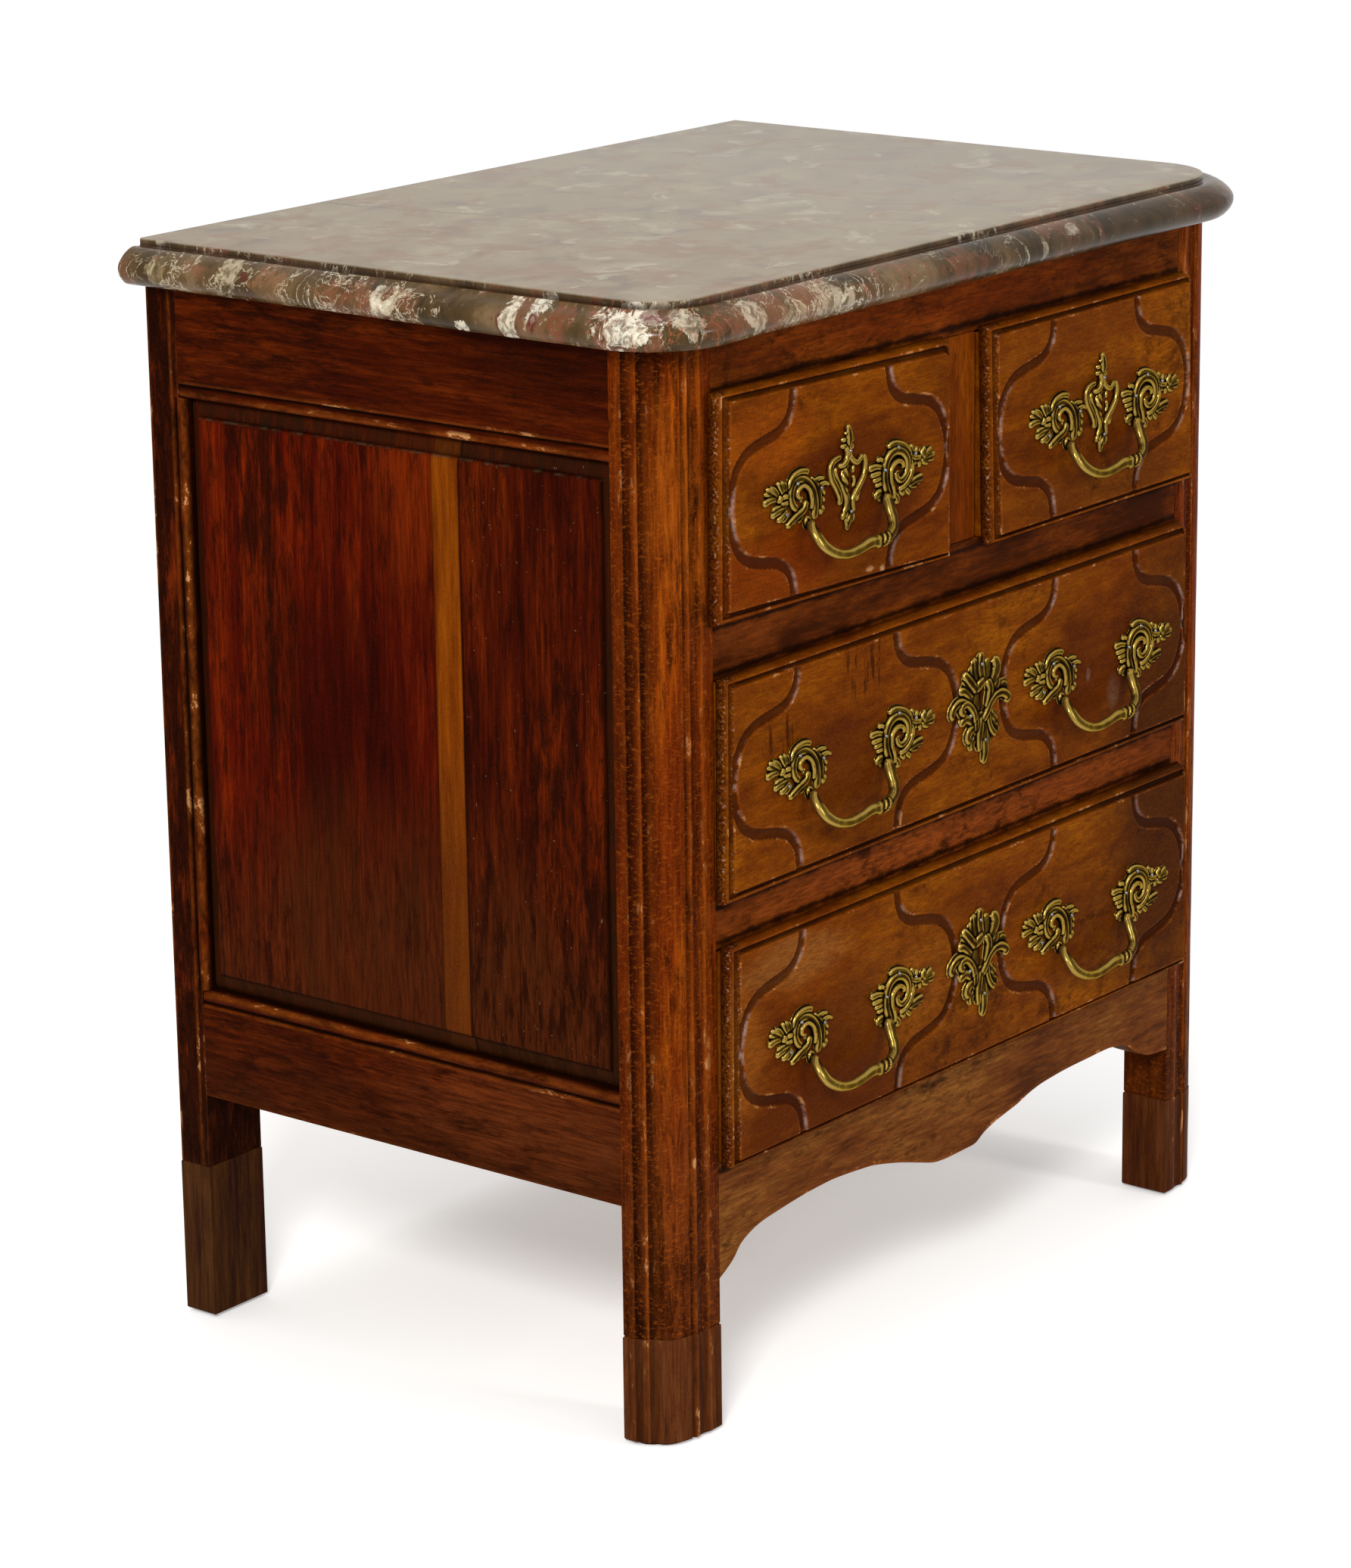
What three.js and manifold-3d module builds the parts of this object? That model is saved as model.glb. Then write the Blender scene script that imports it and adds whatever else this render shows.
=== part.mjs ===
// A small marble-topped commode chest: two small drawers over two long ones, on legs that are
// the carcass posts carried down to the floor. Millimetres, +Z up, the front faces -Y, and the
// origin lies on the floor under the middle of the chest.

import * as THREE from 'three';
import { mergeVertices } from 'three/addons/utils/BufferGeometryUtils.js';
import Module from 'manifold-3d';

const wasm = await Module();
wasm.setup();

// Carcass
const carcassWidth = 726.4;
const carcassDepth = 481.4;
const frontPostWidth = 61.6;
const frontPostDepth = 41.4;
const rearPostWidth = 59;
const rearPostDepth = 29.2;
const postCornerRadius = 40;
const postLineDepth = 1.6;
const postQuirkDepth = 2.6;
const postCoveStart = 38;
const postCoveWidth = 9;
const postLipWidth = 2.5;

// Feet spliced under the legs, and the felt under them
const frontFootTop = 84;
const rearFootTop = 126;
const footSwell = 0.6;
const feltThickness = 3;
const feltInset = 7;

// Marble slab
const slabThickness = 31;
const slabSideOverhang = 24.5;
const slabFrontOverhang = 35;
const slabBackOverhang = 3.6;
const slabEdgeReach = 24.5;
const slabCornerRadius = 62;

// Front frame, from the floor up
const openSpaceHeight = 209.5;
const lowerDrawerHeight = 161.5;
const lowerRailHeight = 43;
const upperDrawerHeight = 157;
const upperRailHeight = 43;
const smallDrawerHeight = 158;
const topRailHeight = 47;
const dividerWidth = 46;
const dividerShift = -2;
const apronThickness = 24;
const apronArchDrop = 55.5;
const apronCentreDrop = 82.5;
const apronEndDrop = 93.5;
const apronCentreWidth = 54;

// Side frames and their raised panels
const sideRailThickness = 24;
const sideTopRailHeight = 86;
const sideBottomRailHeight = 85;
const sideBottomRailDrop = 24.5;
const railMouldingWidth = 9;
const railMouldingDepth = 6;
const railLineWidth = 2;
const railLineDepth = 1.3;
const panelFieldSink = 5;
const panelFieldStep = 1.5;
const panelMarginSink = 12;
const panelMarginWidth = 14;
const panelTongueThickness = 7;
const panelTongueLength = 8;
const stripStartShare = 0.59;
const stripEndShare = 0.652;

// Tenons
const tenonLength = 15;
const tenonThickness = 11;
const tenonShoulder = 6;
const sideTenonSetback = 6.5;

// Back
const backRailThickness = 20;
const backBoardThickness = 8;
const bottomBackRailHeight = 44;
const railLap = 5;

// Runners and guides
const runnerWidth = 50;
const runnerHeight = 22;
const guideHeight = 18;
const centreRunnerWidth = 86;

// Drawers
const drawerClearSide = 1.4;
const drawerClearTop = 2;
const drawerRearGap = 7;
const drawerSideThickness = 11;
const drawerBackThickness = 10;
const drawerBottomThickness = 6;
const drawerBottomRaise = 9;
const drawerBackDrop = 5;
const drawerGrooveDepth = 5;
const frontInsideThickness = 18;

// Drawer fronts stand proud and lip over the frame
const frontProud = 13;
const lipOverTop = 5;
const lipOverBottom = 5;
const longLipSide = 3.6;
const smallLipOuter = 7.2;
const smallLipInner = 5;
const leftDrawerRise = 3.5;
const rollWidth = 7;
const quirkWidth = 4.3;
const quirkDepth = 2.6;

// Gouged lines on the drawer fronts
const gougeWidth = 9;
const gougeDepth = 2.4;

// Brass
const rosetteThickness = 5;
const rosetteBevel = 1.6;
const handleSpread = 64;
const leftRosetteWidth = 80;
const leftRosetteHeight = 40;
const rightRosetteWidth = 85;
const rightRosetteHeight = 46;
const scrollThickness = 5.5;
const scrollWidth = 30;
const scrollHeight = 28;
const bailThickness = 8.4;
const bailWidth = 104;
const bailDrop = 43;
const bailReach = 20;
const bailShift = -12;
const handleDrop = 7;
const smallLeftHandleShift = 8;
const smallRightHandleShift = 14;
const longHandleShift = 2;
const smallEscutcheonWidth = 42;
const smallEscutcheonHeight = 81;
const longEscutcheonWidth = 66;
const longEscutcheonHeight = 93;
const smallLeftLockShift = 5;
const smallRightLockShift = 9;
const longLockShift = 10;
const escutcheonThickness = 3.4;
const escutcheonBevel = 1;

// Locks
const keyholeRadius = 2.7;
const keyholeSlotWidth = 3.4;
const keyholeLength = 23;
const lockWidth = 62;
const lockMargin = 12;
const lockThickness = 9;
const lockWall = 2.5;
const boltWidth = 22;
const boltThickness = 4;
const boltLength = 32;
const boltTravel = 8;

// Clearances
const gap = 0.3;
const overrun = 4;
const boltClear = 0.6;

const lowerDrawerBottom = openSpaceHeight;
const lowerDrawerTop = lowerDrawerBottom + lowerDrawerHeight;
const upperDrawerBottom = lowerDrawerTop + lowerRailHeight;
const upperDrawerTop = upperDrawerBottom + upperDrawerHeight;
const smallDrawerBottom = upperDrawerTop + upperRailHeight;
const smallDrawerTop = smallDrawerBottom + smallDrawerHeight;
const carcassHeight = smallDrawerTop + topRailHeight;
const sideBottomRailBase = lowerDrawerBottom - sideBottomRailDrop;

const front = -carcassDepth;
const halfWidth = carcassWidth / 2;
const openingHalf = halfWidth - frontPostWidth;
const rearOpeningHalf = halfWidth - rearPostWidth;
const frontBack = front + frontPostDepth;
const rearFront = -rearPostDepth;
const handleReach = gap + bailReach + bailThickness / 2;
const modelDepth = carcassDepth + slabBackOverhang + frontProud + handleReach;
const centreShift = modelDepth / 2 - slabBackOverhang;

const woodDark = new THREE.MeshStandardMaterial({ color: 0x6b2f16, roughness: 0.45, metalness: 0 });
const woodWarm = new THREE.MeshStandardMaterial({ color: 0x8a4a1c, roughness: 0.4, metalness: 0 });
const woodPale = new THREE.MeshStandardMaterial({ color: 0xa8713c, roughness: 0.6, metalness: 0 });
const woodPlain = new THREE.MeshStandardMaterial({ color: 0x9a7148, roughness: 0.7, metalness: 0 });
const marble = new THREE.MeshStandardMaterial({ color: 0xa39a86, roughness: 0.25, metalness: 0 });
const brass = new THREE.MeshStandardMaterial({ color: 0xa0893f, roughness: 0.35, metalness: 1 });
const iron = new THREE.MeshStandardMaterial({ color: 0x55524f, roughness: 0.55, metalness: 1 });

const chest = new THREE.Group();
chest.position.set(0, centreShift, 0);

function plainGeometry(geometry) {
  const copy = geometry.clone();
  copy.deleteAttribute('normal');
  copy.deleteAttribute('uv');
  return mergeVertices(copy, 1e-4);
}

function toSolid(geometry) {
  const merged = plainGeometry(geometry);
  const vertProperties = new Float32Array(merged.attributes.position.array);
  const triVerts = new Uint32Array(merged.index.array);
  return new wasm.Manifold(new wasm.Mesh({ numProp: 3, vertProperties, triVerts }));
}

function toGeometry(solid) {
  const mesh = solid.getMesh();
  const geometry = new THREE.BufferGeometry();
  geometry.setAttribute('position', new THREE.BufferAttribute(new Float32Array(mesh.vertProperties), 3));
  geometry.setIndex(new THREE.BufferAttribute(new Uint32Array(mesh.triVerts), 1));
  return geometry;
}

function joined(geometries) {
  return toGeometry(geometries.map(toSolid).reduce((sum, solid) => sum.add(solid)));
}

function cutBy(geometry, cutters) {
  return toGeometry(cutters.map(toSolid).reduce((rest, cutter) => rest.subtract(cutter), toSolid(geometry)));
}

function piece(name, geometry, material) {
  const flat = geometry.index ? geometry.toNonIndexed() : geometry;
  flat.computeVertexNormals();
  const mesh = new THREE.Mesh(flat, material);
  mesh.name = name;
  chest.add(mesh);
}

function block(x0, x1, y0, y1, z0, z1) {
  const geometry = new THREE.BoxGeometry(x1 - x0, y1 - y0, z1 - z0);
  return geometry.translate((x0 + x1) / 2, (y0 + y1) / 2, (z0 + z1) / 2);
}

function mirrored(geometry) {
  const flat = geometry.index ? geometry.toNonIndexed() : geometry.clone();
  const place = flat.attributes.position;
  const out = new Float32Array(place.count * 3);
  for (let i = 0; i < place.count; i += 3) {
    [0, 2, 1].forEach((from, to) => {
      out[(i + to) * 3] = -place.getX(i + from);
      out[(i + to) * 3 + 1] = place.getY(i + from);
      out[(i + to) * 3 + 2] = place.getZ(i + from);
    });
  }
  const result = new THREE.BufferGeometry();
  result.setAttribute('position', new THREE.BufferAttribute(out, 3));
  return result;
}

// A solid through a stack of outlines; each row is { points, z } with its points anticlockwise
function loft(rows) {
  const count = rows[0].points.length;
  const positions = [];
  const corner = (row, i) => [row.points[i % count][0], row.points[i % count][1], row.z];
  for (let r = 0; r + 1 < rows.length; r += 1) {
    for (let i = 0; i < count; i += 1) {
      const a = corner(rows[r], i);
      const b = corner(rows[r], i + 1);
      const c = corner(rows[r + 1], i + 1);
      const d = corner(rows[r + 1], i);
      positions.push(...a, ...b, ...c, ...a, ...c, ...d);
    }
  }
  const cap = (row, order) => {
    const outline = row.points.map((point) => new THREE.Vector2(...point));
    for (const face of THREE.ShapeUtils.triangulateShape(outline, [])) {
      for (const i of order) positions.push(...corner(row, face[i]));
    }
  };
  cap(rows[0], [2, 1, 0]);
  cap(rows[rows.length - 1], [0, 1, 2]);
  const geometry = new THREE.BufferGeometry();
  geometry.setAttribute('position', new THREE.BufferAttribute(new Float32Array(positions), 3));
  return geometry;
}

function prism(points, z0, z1) {
  return loft([{ points, z: z0 }, { points, z: z1 }]);
}

// Turns a drawing made on a face into the room: across, up and outward become room directions
function turned(geometry, across, up, outward) {
  return geometry.applyMatrix4(new THREE.Matrix4().makeBasis(across, up, outward));
}

const right = new THREE.Vector3(1, 0, 0);
const rearward = new THREE.Vector3(0, 1, 0);
const upward = new THREE.Vector3(0, 0, 1);
const forward = rearward.clone().negate();
const leftward = right.clone().negate();

// A drawing on the front: x across, z up, and the third value the distance in front of y = 0
function onFront(geometry) {
  return turned(geometry, right, upward, forward);
}

// A drawing on the left side: distance forward, z up, and the distance out to the left
function onLeft(geometry) {
  return turned(geometry, forward, upward, leftward);
}

// A bar along y, whose section is drawn as distance out to the left and z
function leftBar(section, y0, y1) {
  return turned(prism(section, y0, y1), leftward, upward, rearward);
}

function rectangle(x0, x1, y0, y1) {
  return [[x0, y0], [x1, y0], [x1, y1], [x0, y1]];
}

// Marble slab: a flat top with a small step, then a broad roll round the front and both sides
const slabInsetShares = [0.43, 0.27, 0.12, 0.03, 0, 0.05, 0.2, 0.43, 0.67, 0.9, 1, 1];
const slabHeightShares = [0, 0.05, 0.16, 0.29, 0.435, 0.54, 0.66, 0.77, 0.83, 0.823, 0.815, 1];
const slabCornerSteps = 9;

function slabOutline(inset) {
  const half = halfWidth + slabSideOverhang - inset;
  const nose = front - slabFrontOverhang + inset;
  const radius = slabCornerRadius - inset;
  const points = [[-half, slabBackOverhang]];
  for (const side of [-1, 1]) {
    for (let i = 0; i <= slabCornerSteps; i += 1) {
      const step = side < 0 ? i : slabCornerSteps - i;
      const angle = (step / slabCornerSteps) * Math.PI / 2;
      const x = half - radius + radius * Math.cos(angle);
      points.push([side * x, nose + radius - radius * Math.sin(angle)]);
    }
  }
  points.push([half, slabBackOverhang]);
  return points;
}

function marbleTop() {
  const rows = slabInsetShares.map((share, i) => ({
    points: slabOutline(share * slabEdgeReach),
    z: carcassHeight + gap + slabHeightShares[i] * (slabThickness - gap),
  }));
  return loft(rows);
}

// Front post: a wide rounded outer corner between a quirk and fine lines on either side
const postLineAngles = [14, 17, 25, 27];
const postQuirkAngles = [29, 35];
const postColumnAngles = [37, 47, 57, 68, 78];
const postFrontQuirkAngles = [80, 84];

function frontPostOutline(swell) {
  const radius = postCornerRadius;
  const onCorner = (degrees, sink) => {
    const angle = THREE.MathUtils.degToRad(degrees);
    return [radius - (radius - sink) * Math.cos(angle), radius - (radius - sink) * Math.sin(angle)];
  };
  const lineSinks = [0, postLineDepth / 2, postLineDepth / 2, 0];
  const coveEnd = postCoveStart + postCoveWidth;
  const face = [
    [0, frontPostDepth],
    ...postLineAngles.map((angle, i) => onCorner(angle, lineSinks[i])),
    ...postQuirkAngles.map((angle) => onCorner(angle, postQuirkDepth)),
    ...postColumnAngles.map((angle) => onCorner(angle, 0)),
    onCorner(postFrontQuirkAngles[0], postQuirkDepth),
    onCorner(postFrontQuirkAngles[1], 0),
    [postCoveStart, postLineDepth],
    [coveEnd, postLineDepth],
    [coveEnd + postLipWidth, 0],
    [frontPostWidth, 0],
    [frontPostWidth, frontPostDepth],
  ];
  const growX = (frontPostWidth + 2 * swell) / frontPostWidth;
  const growY = (frontPostDepth + 2 * swell) / frontPostDepth;
  const middleX = frontPostWidth / 2;
  const middleY = frontPostDepth / 2;
  return face.map(([across, deep]) => [
    -halfWidth + middleX + (across - middleX) * growX,
    front + middleY + (deep - middleY) * growY,
  ]);
}

function rearPostOutline(swell) {
  const inner = -halfWidth + rearPostWidth + swell;
  return rectangle(-halfWidth - swell, inner, rearFront - swell, swell);
}

const backBoardNames = ['left_back_board', 'middle_back_board', 'right_back_board'];

// Frame openings on the sides
const sideOpening = {
  start: rearPostDepth,
  end: carcassDepth - frontPostDepth,
  bottom: sideBottomRailBase + sideBottomRailHeight,
  top: carcassHeight - sideTopRailHeight,
};

// The groove that holds the panel's tongue, cut in the rails and posts of the left side
function tongueCutter() {
  const reach = panelTongueLength + gap;
  const outer = halfWidth - panelMarginSink + gap;
  const inner = halfWidth - panelMarginSink - panelTongueThickness - gap;
  return block(
    -outer, -inner,
    -sideOpening.end - reach, -sideOpening.start + reach,
    sideOpening.bottom - reach, sideOpening.top + reach,
  );
}

function sidePanel() {
  const box = (grow) => rectangle(
    sideOpening.start - grow, sideOpening.end + grow,
    sideOpening.bottom - grow, sideOpening.top + grow,
  );
  const tongueBack = halfWidth - panelMarginSink - panelTongueThickness;
  const margin = halfWidth - panelMarginSink;
  const field = halfWidth - panelFieldSink;
  return onLeft(loft([
    { points: box(panelTongueLength), z: tongueBack },
    { points: box(panelTongueLength), z: margin },
    { points: box(-gap), z: margin },
    { points: box(-panelMarginWidth), z: field - panelFieldStep },
    { points: box(-panelMarginWidth - panelFieldStep), z: field },
  ]));
}

// Side rails, moulded along the edge that meets the panel
function sideRail(panelEdge, farEdge) {
  const away = Math.sign(farEdge - panelEdge);
  const outer = halfWidth;
  const inner = halfWidth - sideRailThickness;
  const lineNear = panelEdge + away * railMouldingWidth;
  const lineFar = lineNear + away * railLineWidth;
  const profile = [
    [inner, panelEdge],
    [outer - railMouldingDepth, panelEdge],
    [outer - railMouldingDepth / 2, panelEdge + away * railMouldingWidth / 6],
    [outer - railMouldingDepth / 6, panelEdge + away * railMouldingWidth / 2],
    [outer - railLineDepth / 4, lineNear],
    [outer - railLineDepth, (lineNear + lineFar) / 2],
    [outer, lineFar],
    [outer, farEdge],
    [inner, farEdge],
  ];
  const points = away > 0 ? profile : profile.reverse();
  return leftBar(points, -sideOpening.end + gap, -sideOpening.start - gap);
}

function sideRailTenons(bottom, top) {
  const outer = halfWidth - sideTenonSetback;
  const inner = outer - tenonThickness;
  const low = bottom + tenonShoulder;
  const high = top - tenonShoulder;
  const root = tenonThickness / 2;
  return [
    block(-outer, -inner, -sideOpening.end - tenonLength, -sideOpening.end + root, low, high),
    block(-outer, -inner, -sideOpening.start - root, -sideOpening.start + tenonLength, low, high),
  ];
}

const railLevels = {
  top: { bottom: smallDrawerTop, top: carcassHeight },
  upper: { bottom: upperDrawerTop, top: smallDrawerBottom },
  lower: { bottom: lowerDrawerTop, top: upperDrawerBottom },
};
const apronTenonLevel = {
  bottom: lowerDrawerBottom - apronArchDrop + tenonShoulder,
  top: lowerDrawerBottom,
};

function frontRailTenons(level) {
  const middle = front + frontPostDepth / 2;
  const low = level.bottom + tenonShoulder;
  const high = level.top - tenonShoulder;
  const near = openingHalf - tenonThickness;
  const far = openingHalf + tenonLength;
  const y0 = middle - tenonThickness / 2;
  const y1 = middle + tenonThickness / 2;
  return [block(-far, -near, y0, y1, low, high), block(near, far, y0, y1, low, high)];
}

function grown(geometry, amount) {
  geometry.computeBoundingBox();
  const { min, max } = geometry.boundingBox;
  return block(
    min.x - amount, max.x + amount,
    min.y - amount, max.y + amount,
    min.z - amount, max.z + amount,
  );
}

function posts() {
  const sideMortises = [
    ...sideRailTenons(sideOpening.top, carcassHeight),
    ...sideRailTenons(sideBottomRailBase, sideOpening.bottom),
  ].map((tenon) => grown(tenon, gap));
  const frontMortises = [
    ...Object.values(railLevels),
    apronTenonLevel,
  ].flatMap((level) => frontRailTenons(level)).map((tenon) => grown(tenon, gap));
  const groove = tongueCutter();
  const frontLeft = prism(frontPostOutline(0), frontFootTop, carcassHeight);
  const rearLeft = prism(rearPostOutline(0), rearFootTop, carcassHeight);
  const frontCut = cutBy(frontLeft, [groove, ...sideMortises, ...frontMortises]);
  const rearCut = cutBy(rearLeft, [groove, ...sideMortises]);
  piece('front_left_post', frontCut, woodDark);
  piece('front_right_post', mirrored(frontCut), woodDark);
  piece('rear_left_post', rearCut, woodDark);
  piece('rear_right_post', mirrored(rearCut), woodDark);
}

// Each foot ends in a thin felt pad, set in from its edges
function footWithPad(outline, top) {
  const wood = prism(outline, feltThickness, top - gap);
  wood.computeBoundingBox();
  const { min, max } = wood.boundingBox;
  const pad = block(
    min.x + feltInset * 2, max.x - feltInset,
    min.y + feltInset * 2, max.y - feltInset,
    0, feltThickness * 2,
  );
  return joined([wood, pad]);
}

function feet() {
  const frontFoot = footWithPad(frontPostOutline(footSwell), frontFootTop);
  const rearFoot = footWithPad(rearPostOutline(footSwell), rearFootTop);
  piece('front_left_foot', frontFoot, woodDark);
  piece('front_right_foot', mirrored(frontFoot), woodDark);
  piece('rear_left_foot', rearFoot, woodDark);
  piece('rear_right_foot', mirrored(rearFoot), woodDark);
}

function sideFrames() {
  const groove = tongueCutter();
  const topRail = sideRail(sideOpening.top, carcassHeight);
  const bottomRail = sideRail(sideOpening.bottom, sideBottomRailBase);
  const topTenons = sideRailTenons(sideOpening.top, carcassHeight);
  const bottomTenons = sideRailTenons(sideBottomRailBase, sideOpening.bottom);
  const topSolid = cutBy(joined([topRail, ...topTenons]), [groove]);
  const bottomSolid = cutBy(joined([bottomRail, ...bottomTenons]), [groove]);
  piece('left_top_rail', topSolid, woodDark);
  piece('left_bottom_rail', bottomSolid, woodDark);
  piece('right_top_rail', mirrored(topSolid), woodDark);
  piece('right_bottom_rail', mirrored(bottomSolid), woodDark);
}

function sidePanels() {
  const panel = sidePanel();
  const length = sideOpening.end - sideOpening.start;
  const cuts = [
    0,
    sideOpening.start + length * stripStartShare,
    sideOpening.start + length * stripEndShare,
    carcassDepth,
  ];
  const names = ['left_panel_rear_board', 'left_panel_middle_strip', 'left_panel_front_board'];
  names.forEach((name, i) => {
    const half = gap / 2;
    const keep = block(-carcassWidth, 0, -cuts[i + 1] + half, -cuts[i] - half, 0, carcassHeight);
    const board = toSolid(panel).intersect(toSolid(keep));
    piece(name, toGeometry(board), i === 1 ? woodWarm : woodDark);
  });
  piece('right_panel', mirrored(panel), woodDark);
}

// Front rails
function frontRail(name, level, mortises) {
  const half = openingHalf - gap;
  const rail = block(-half, half, front, frontBack - gap, level.bottom, level.top);
  piece(name, cutBy(joined([rail, ...frontRailTenons(level)]), mortises), woodDark);
}

const apronShares = [
  [1, 0], [0.985, 0.09], [0.955, 0.22], [0.93, 0.5], [0.9, 0.72], [0.85, 0.86], [0.79, 0.95],
  [0.66, 1], [0.54, 1],
];
const apronCurlShares = [[0.44, 0.92], [0.33, 0.7], [0.22, 0.44], [0.12, 0.2], [0.06, 0.03], [0.03, 0]];

function apron() {
  const half = openingHalf - gap;
  const end = lowerDrawerBottom - apronEndDrop;
  const centre = lowerDrawerBottom - apronCentreDrop;
  const endRise = apronEndDrop - apronArchDrop;
  const curlRise = apronCentreDrop - apronArchDrop;
  const centreHalf = apronCentreWidth / 2;
  const leg = apronShares.map(([x, rise]) => [x * half, end + rise * endRise]);
  const curl = apronCurlShares.map(([x, rise]) => [
    centreHalf + x * (half - centreHalf),
    centre + rise * curlRise,
  ]);
  const rightEdge = [[centreHalf, centre], ...curl.reverse(), ...leg.reverse()];
  const leftEdge = rightEdge.map(([x, z]) => [-x, z]).reverse();
  const outline = [...leftEdge, ...rightEdge, [half, lowerDrawerBottom], [-half, lowerDrawerBottom]];
  const board = onFront(prism(outline, carcassDepth - apronThickness, carcassDepth));
  const tenons = frontRailTenons(apronTenonLevel);
  piece('front_apron', joined([board, ...tenons]), woodDark);
}

const dividerLeft = dividerShift - dividerWidth / 2;
const dividerRight = dividerShift + dividerWidth / 2;

// Drawers: the opening of each, its lips and the middles of its gouged ovals
const longOvals = [
  { middleShare: 0.232, halfShare: 0.238 },
  { middleShare: 0.788, halfShare: 0.2215 },
];
const smallOvals = [{ middleShare: 0.5, halfShare: 0.497 }];
const drawers = [
  {
    name: 'small_left', left: -openingHalf, right: dividerLeft,
    bottom: smallDrawerBottom, top: smallDrawerTop,
    lipLeft: smallLipOuter, lipRight: smallLipInner, rise: leftDrawerRise,
    ovals: smallOvals, handleShift: smallLeftHandleShift, lockShift: smallLeftLockShift, small: true,
  },
  {
    name: 'small_right', left: dividerRight, right: openingHalf,
    bottom: smallDrawerBottom, top: smallDrawerTop,
    lipLeft: smallLipInner, lipRight: smallLipOuter, rise: 0,
    ovals: smallOvals, handleShift: smallRightHandleShift, lockShift: smallRightLockShift, small: true,
  },
  {
    name: 'upper_long', left: -openingHalf, right: openingHalf,
    bottom: upperDrawerBottom, top: upperDrawerTop,
    lipLeft: longLipSide, lipRight: longLipSide, rise: 0,
    ovals: longOvals, handleShift: longHandleShift, lockShift: longLockShift, small: false,
  },
  {
    name: 'lower_long', left: -openingHalf, right: openingHalf,
    bottom: lowerDrawerBottom, top: lowerDrawerTop,
    lipLeft: longLipSide, lipRight: longLipSide, rise: 0,
    ovals: longOvals, handleShift: longHandleShift, lockShift: longLockShift, small: false,
  },
];

function drawerSizes(drawer) {
  const lip = {
    left: drawer.left - drawer.lipLeft,
    right: drawer.right + drawer.lipRight,
    bottom: drawer.bottom - lipOverBottom,
    top: drawer.top + lipOverTop,
  };
  const inset = rollWidth + quirkWidth;
  const field = {
    left: lip.left + inset,
    right: lip.right - inset,
    bottom: lip.bottom + inset,
    top: lip.top - inset,
  };
  const body = {
    left: drawer.left + drawerClearSide,
    right: drawer.right - drawerClearSide,
    bottom: drawer.bottom + gap,
    top: drawer.top - drawerClearTop,
    front: front + frontInsideThickness,
    rear: rearFront - drawerRearGap,
  };
  const lockX = (field.left + field.right) / 2 + drawer.lockShift;
  const middleZ = (lip.bottom + lip.top) / 2;
  return { lip, field, body, lockX, middleZ };
}

// The moulded lip: a roll round the edge, a quirk, then the flat field
const rollInsetShares = [0, 0, 0.11, 0.37, 0.71, 1];
const rollReachShares = [0, 0.27, 0.58, 0.85, 0.985, 1];
const quirkInsetShares = [0.2, 0.75, 1];
const quirkSinkShares = [0.7, 1, 0];

function lipOutline(lip, rise, inset) {
  return [
    [lip.left + inset, lip.bottom + inset + rise],
    [lip.right - inset, lip.bottom + inset],
    [lip.right - inset, lip.top - inset - rise / 2],
    [lip.left + inset, lip.top - inset + rise],
  ];
}

function lipSolid(drawer, sizes) {
  const reach = frontProud - gap;
  const base = carcassDepth + gap;
  const rows = rollInsetShares.map((share, i) => ({
    points: lipOutline(sizes.lip, drawer.rise, share * rollWidth),
    z: base + rollReachShares[i] * reach,
  }));
  quirkInsetShares.forEach((share, i) => rows.push({
    points: lipOutline(sizes.lip, drawer.rise, rollWidth + share * quirkWidth),
    z: base + reach - quirkSinkShares[i] * quirkDepth,
  }));
  return onFront(loft(rows));
}

// A quarter of one gouged oval, from its top crossing round to its outermost point
const ovalShares = [
  [0.44, 1.03], [0.452, 0.87], [0.49, 0.75], [0.57, 0.655], [0.71, 0.6], [0.83, 0.545],
  [0.915, 0.44], [0.965, 0.29], [0.99, 0.14], [1, 0],
];
const gougeSteps = 22;

function gougeCutter(middleX, middleZ, halfAcross, halfUp, hand) {
  const upper = ovalShares.map(([x, z]) => new THREE.Vector2(x, z));
  const lower = ovalShares.slice(0, -1).reverse().map(([x, z]) => new THREE.Vector2(x, -z));
  const path = new THREE.SplineCurve([...upper, ...lower]);
  const places = path.getPoints(gougeSteps).map((point) => [
    middleX + hand * point.x * halfAcross,
    middleZ + point.y * halfUp,
  ]);
  const edge = (side) => places.map(([x, z], i) => {
    const before = places[Math.max(i - 1, 0)];
    const after = places[Math.min(i + 1, places.length - 1)];
    const length = Math.hypot(after[0] - before[0], after[1] - before[1]);
    const acrossX = (after[1] - before[1]) / length;
    const acrossZ = -(after[0] - before[0]) / length;
    return [x + side * acrossX * gougeWidth / 2, z + side * acrossZ * gougeWidth / 2];
  });
  const outline = [...edge(1), ...edge(-1).reverse()];
  const clockwise = THREE.ShapeUtils.isClockWise(outline.map((point) => new THREE.Vector2(...point)));
  const surface = carcassDepth + frontProud;
  return onFront(prism(clockwise ? outline.reverse() : outline, surface - gougeDepth, surface + overrun));
}

const keyholeSteps = 12;

function keyholeCutter(x, z, depth0, depth1) {
  const top = z + keyholeLength / 2 - keyholeRadius;
  const half = keyholeSlotWidth / 2;
  const meet = Math.asin(half / keyholeRadius);
  const points = [[x - half, z - keyholeLength / 2], [x + half, z - keyholeLength / 2]];
  for (let i = 0; i <= keyholeSteps; i += 1) {
    const angle = -Math.PI / 2 + meet + (i / keyholeSteps) * (Math.PI - meet) * 2;
    points.push([x + keyholeRadius * Math.cos(angle), top + keyholeRadius * Math.sin(angle)]);
  }
  return onFront(prism(points, depth0, depth1));
}

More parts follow.
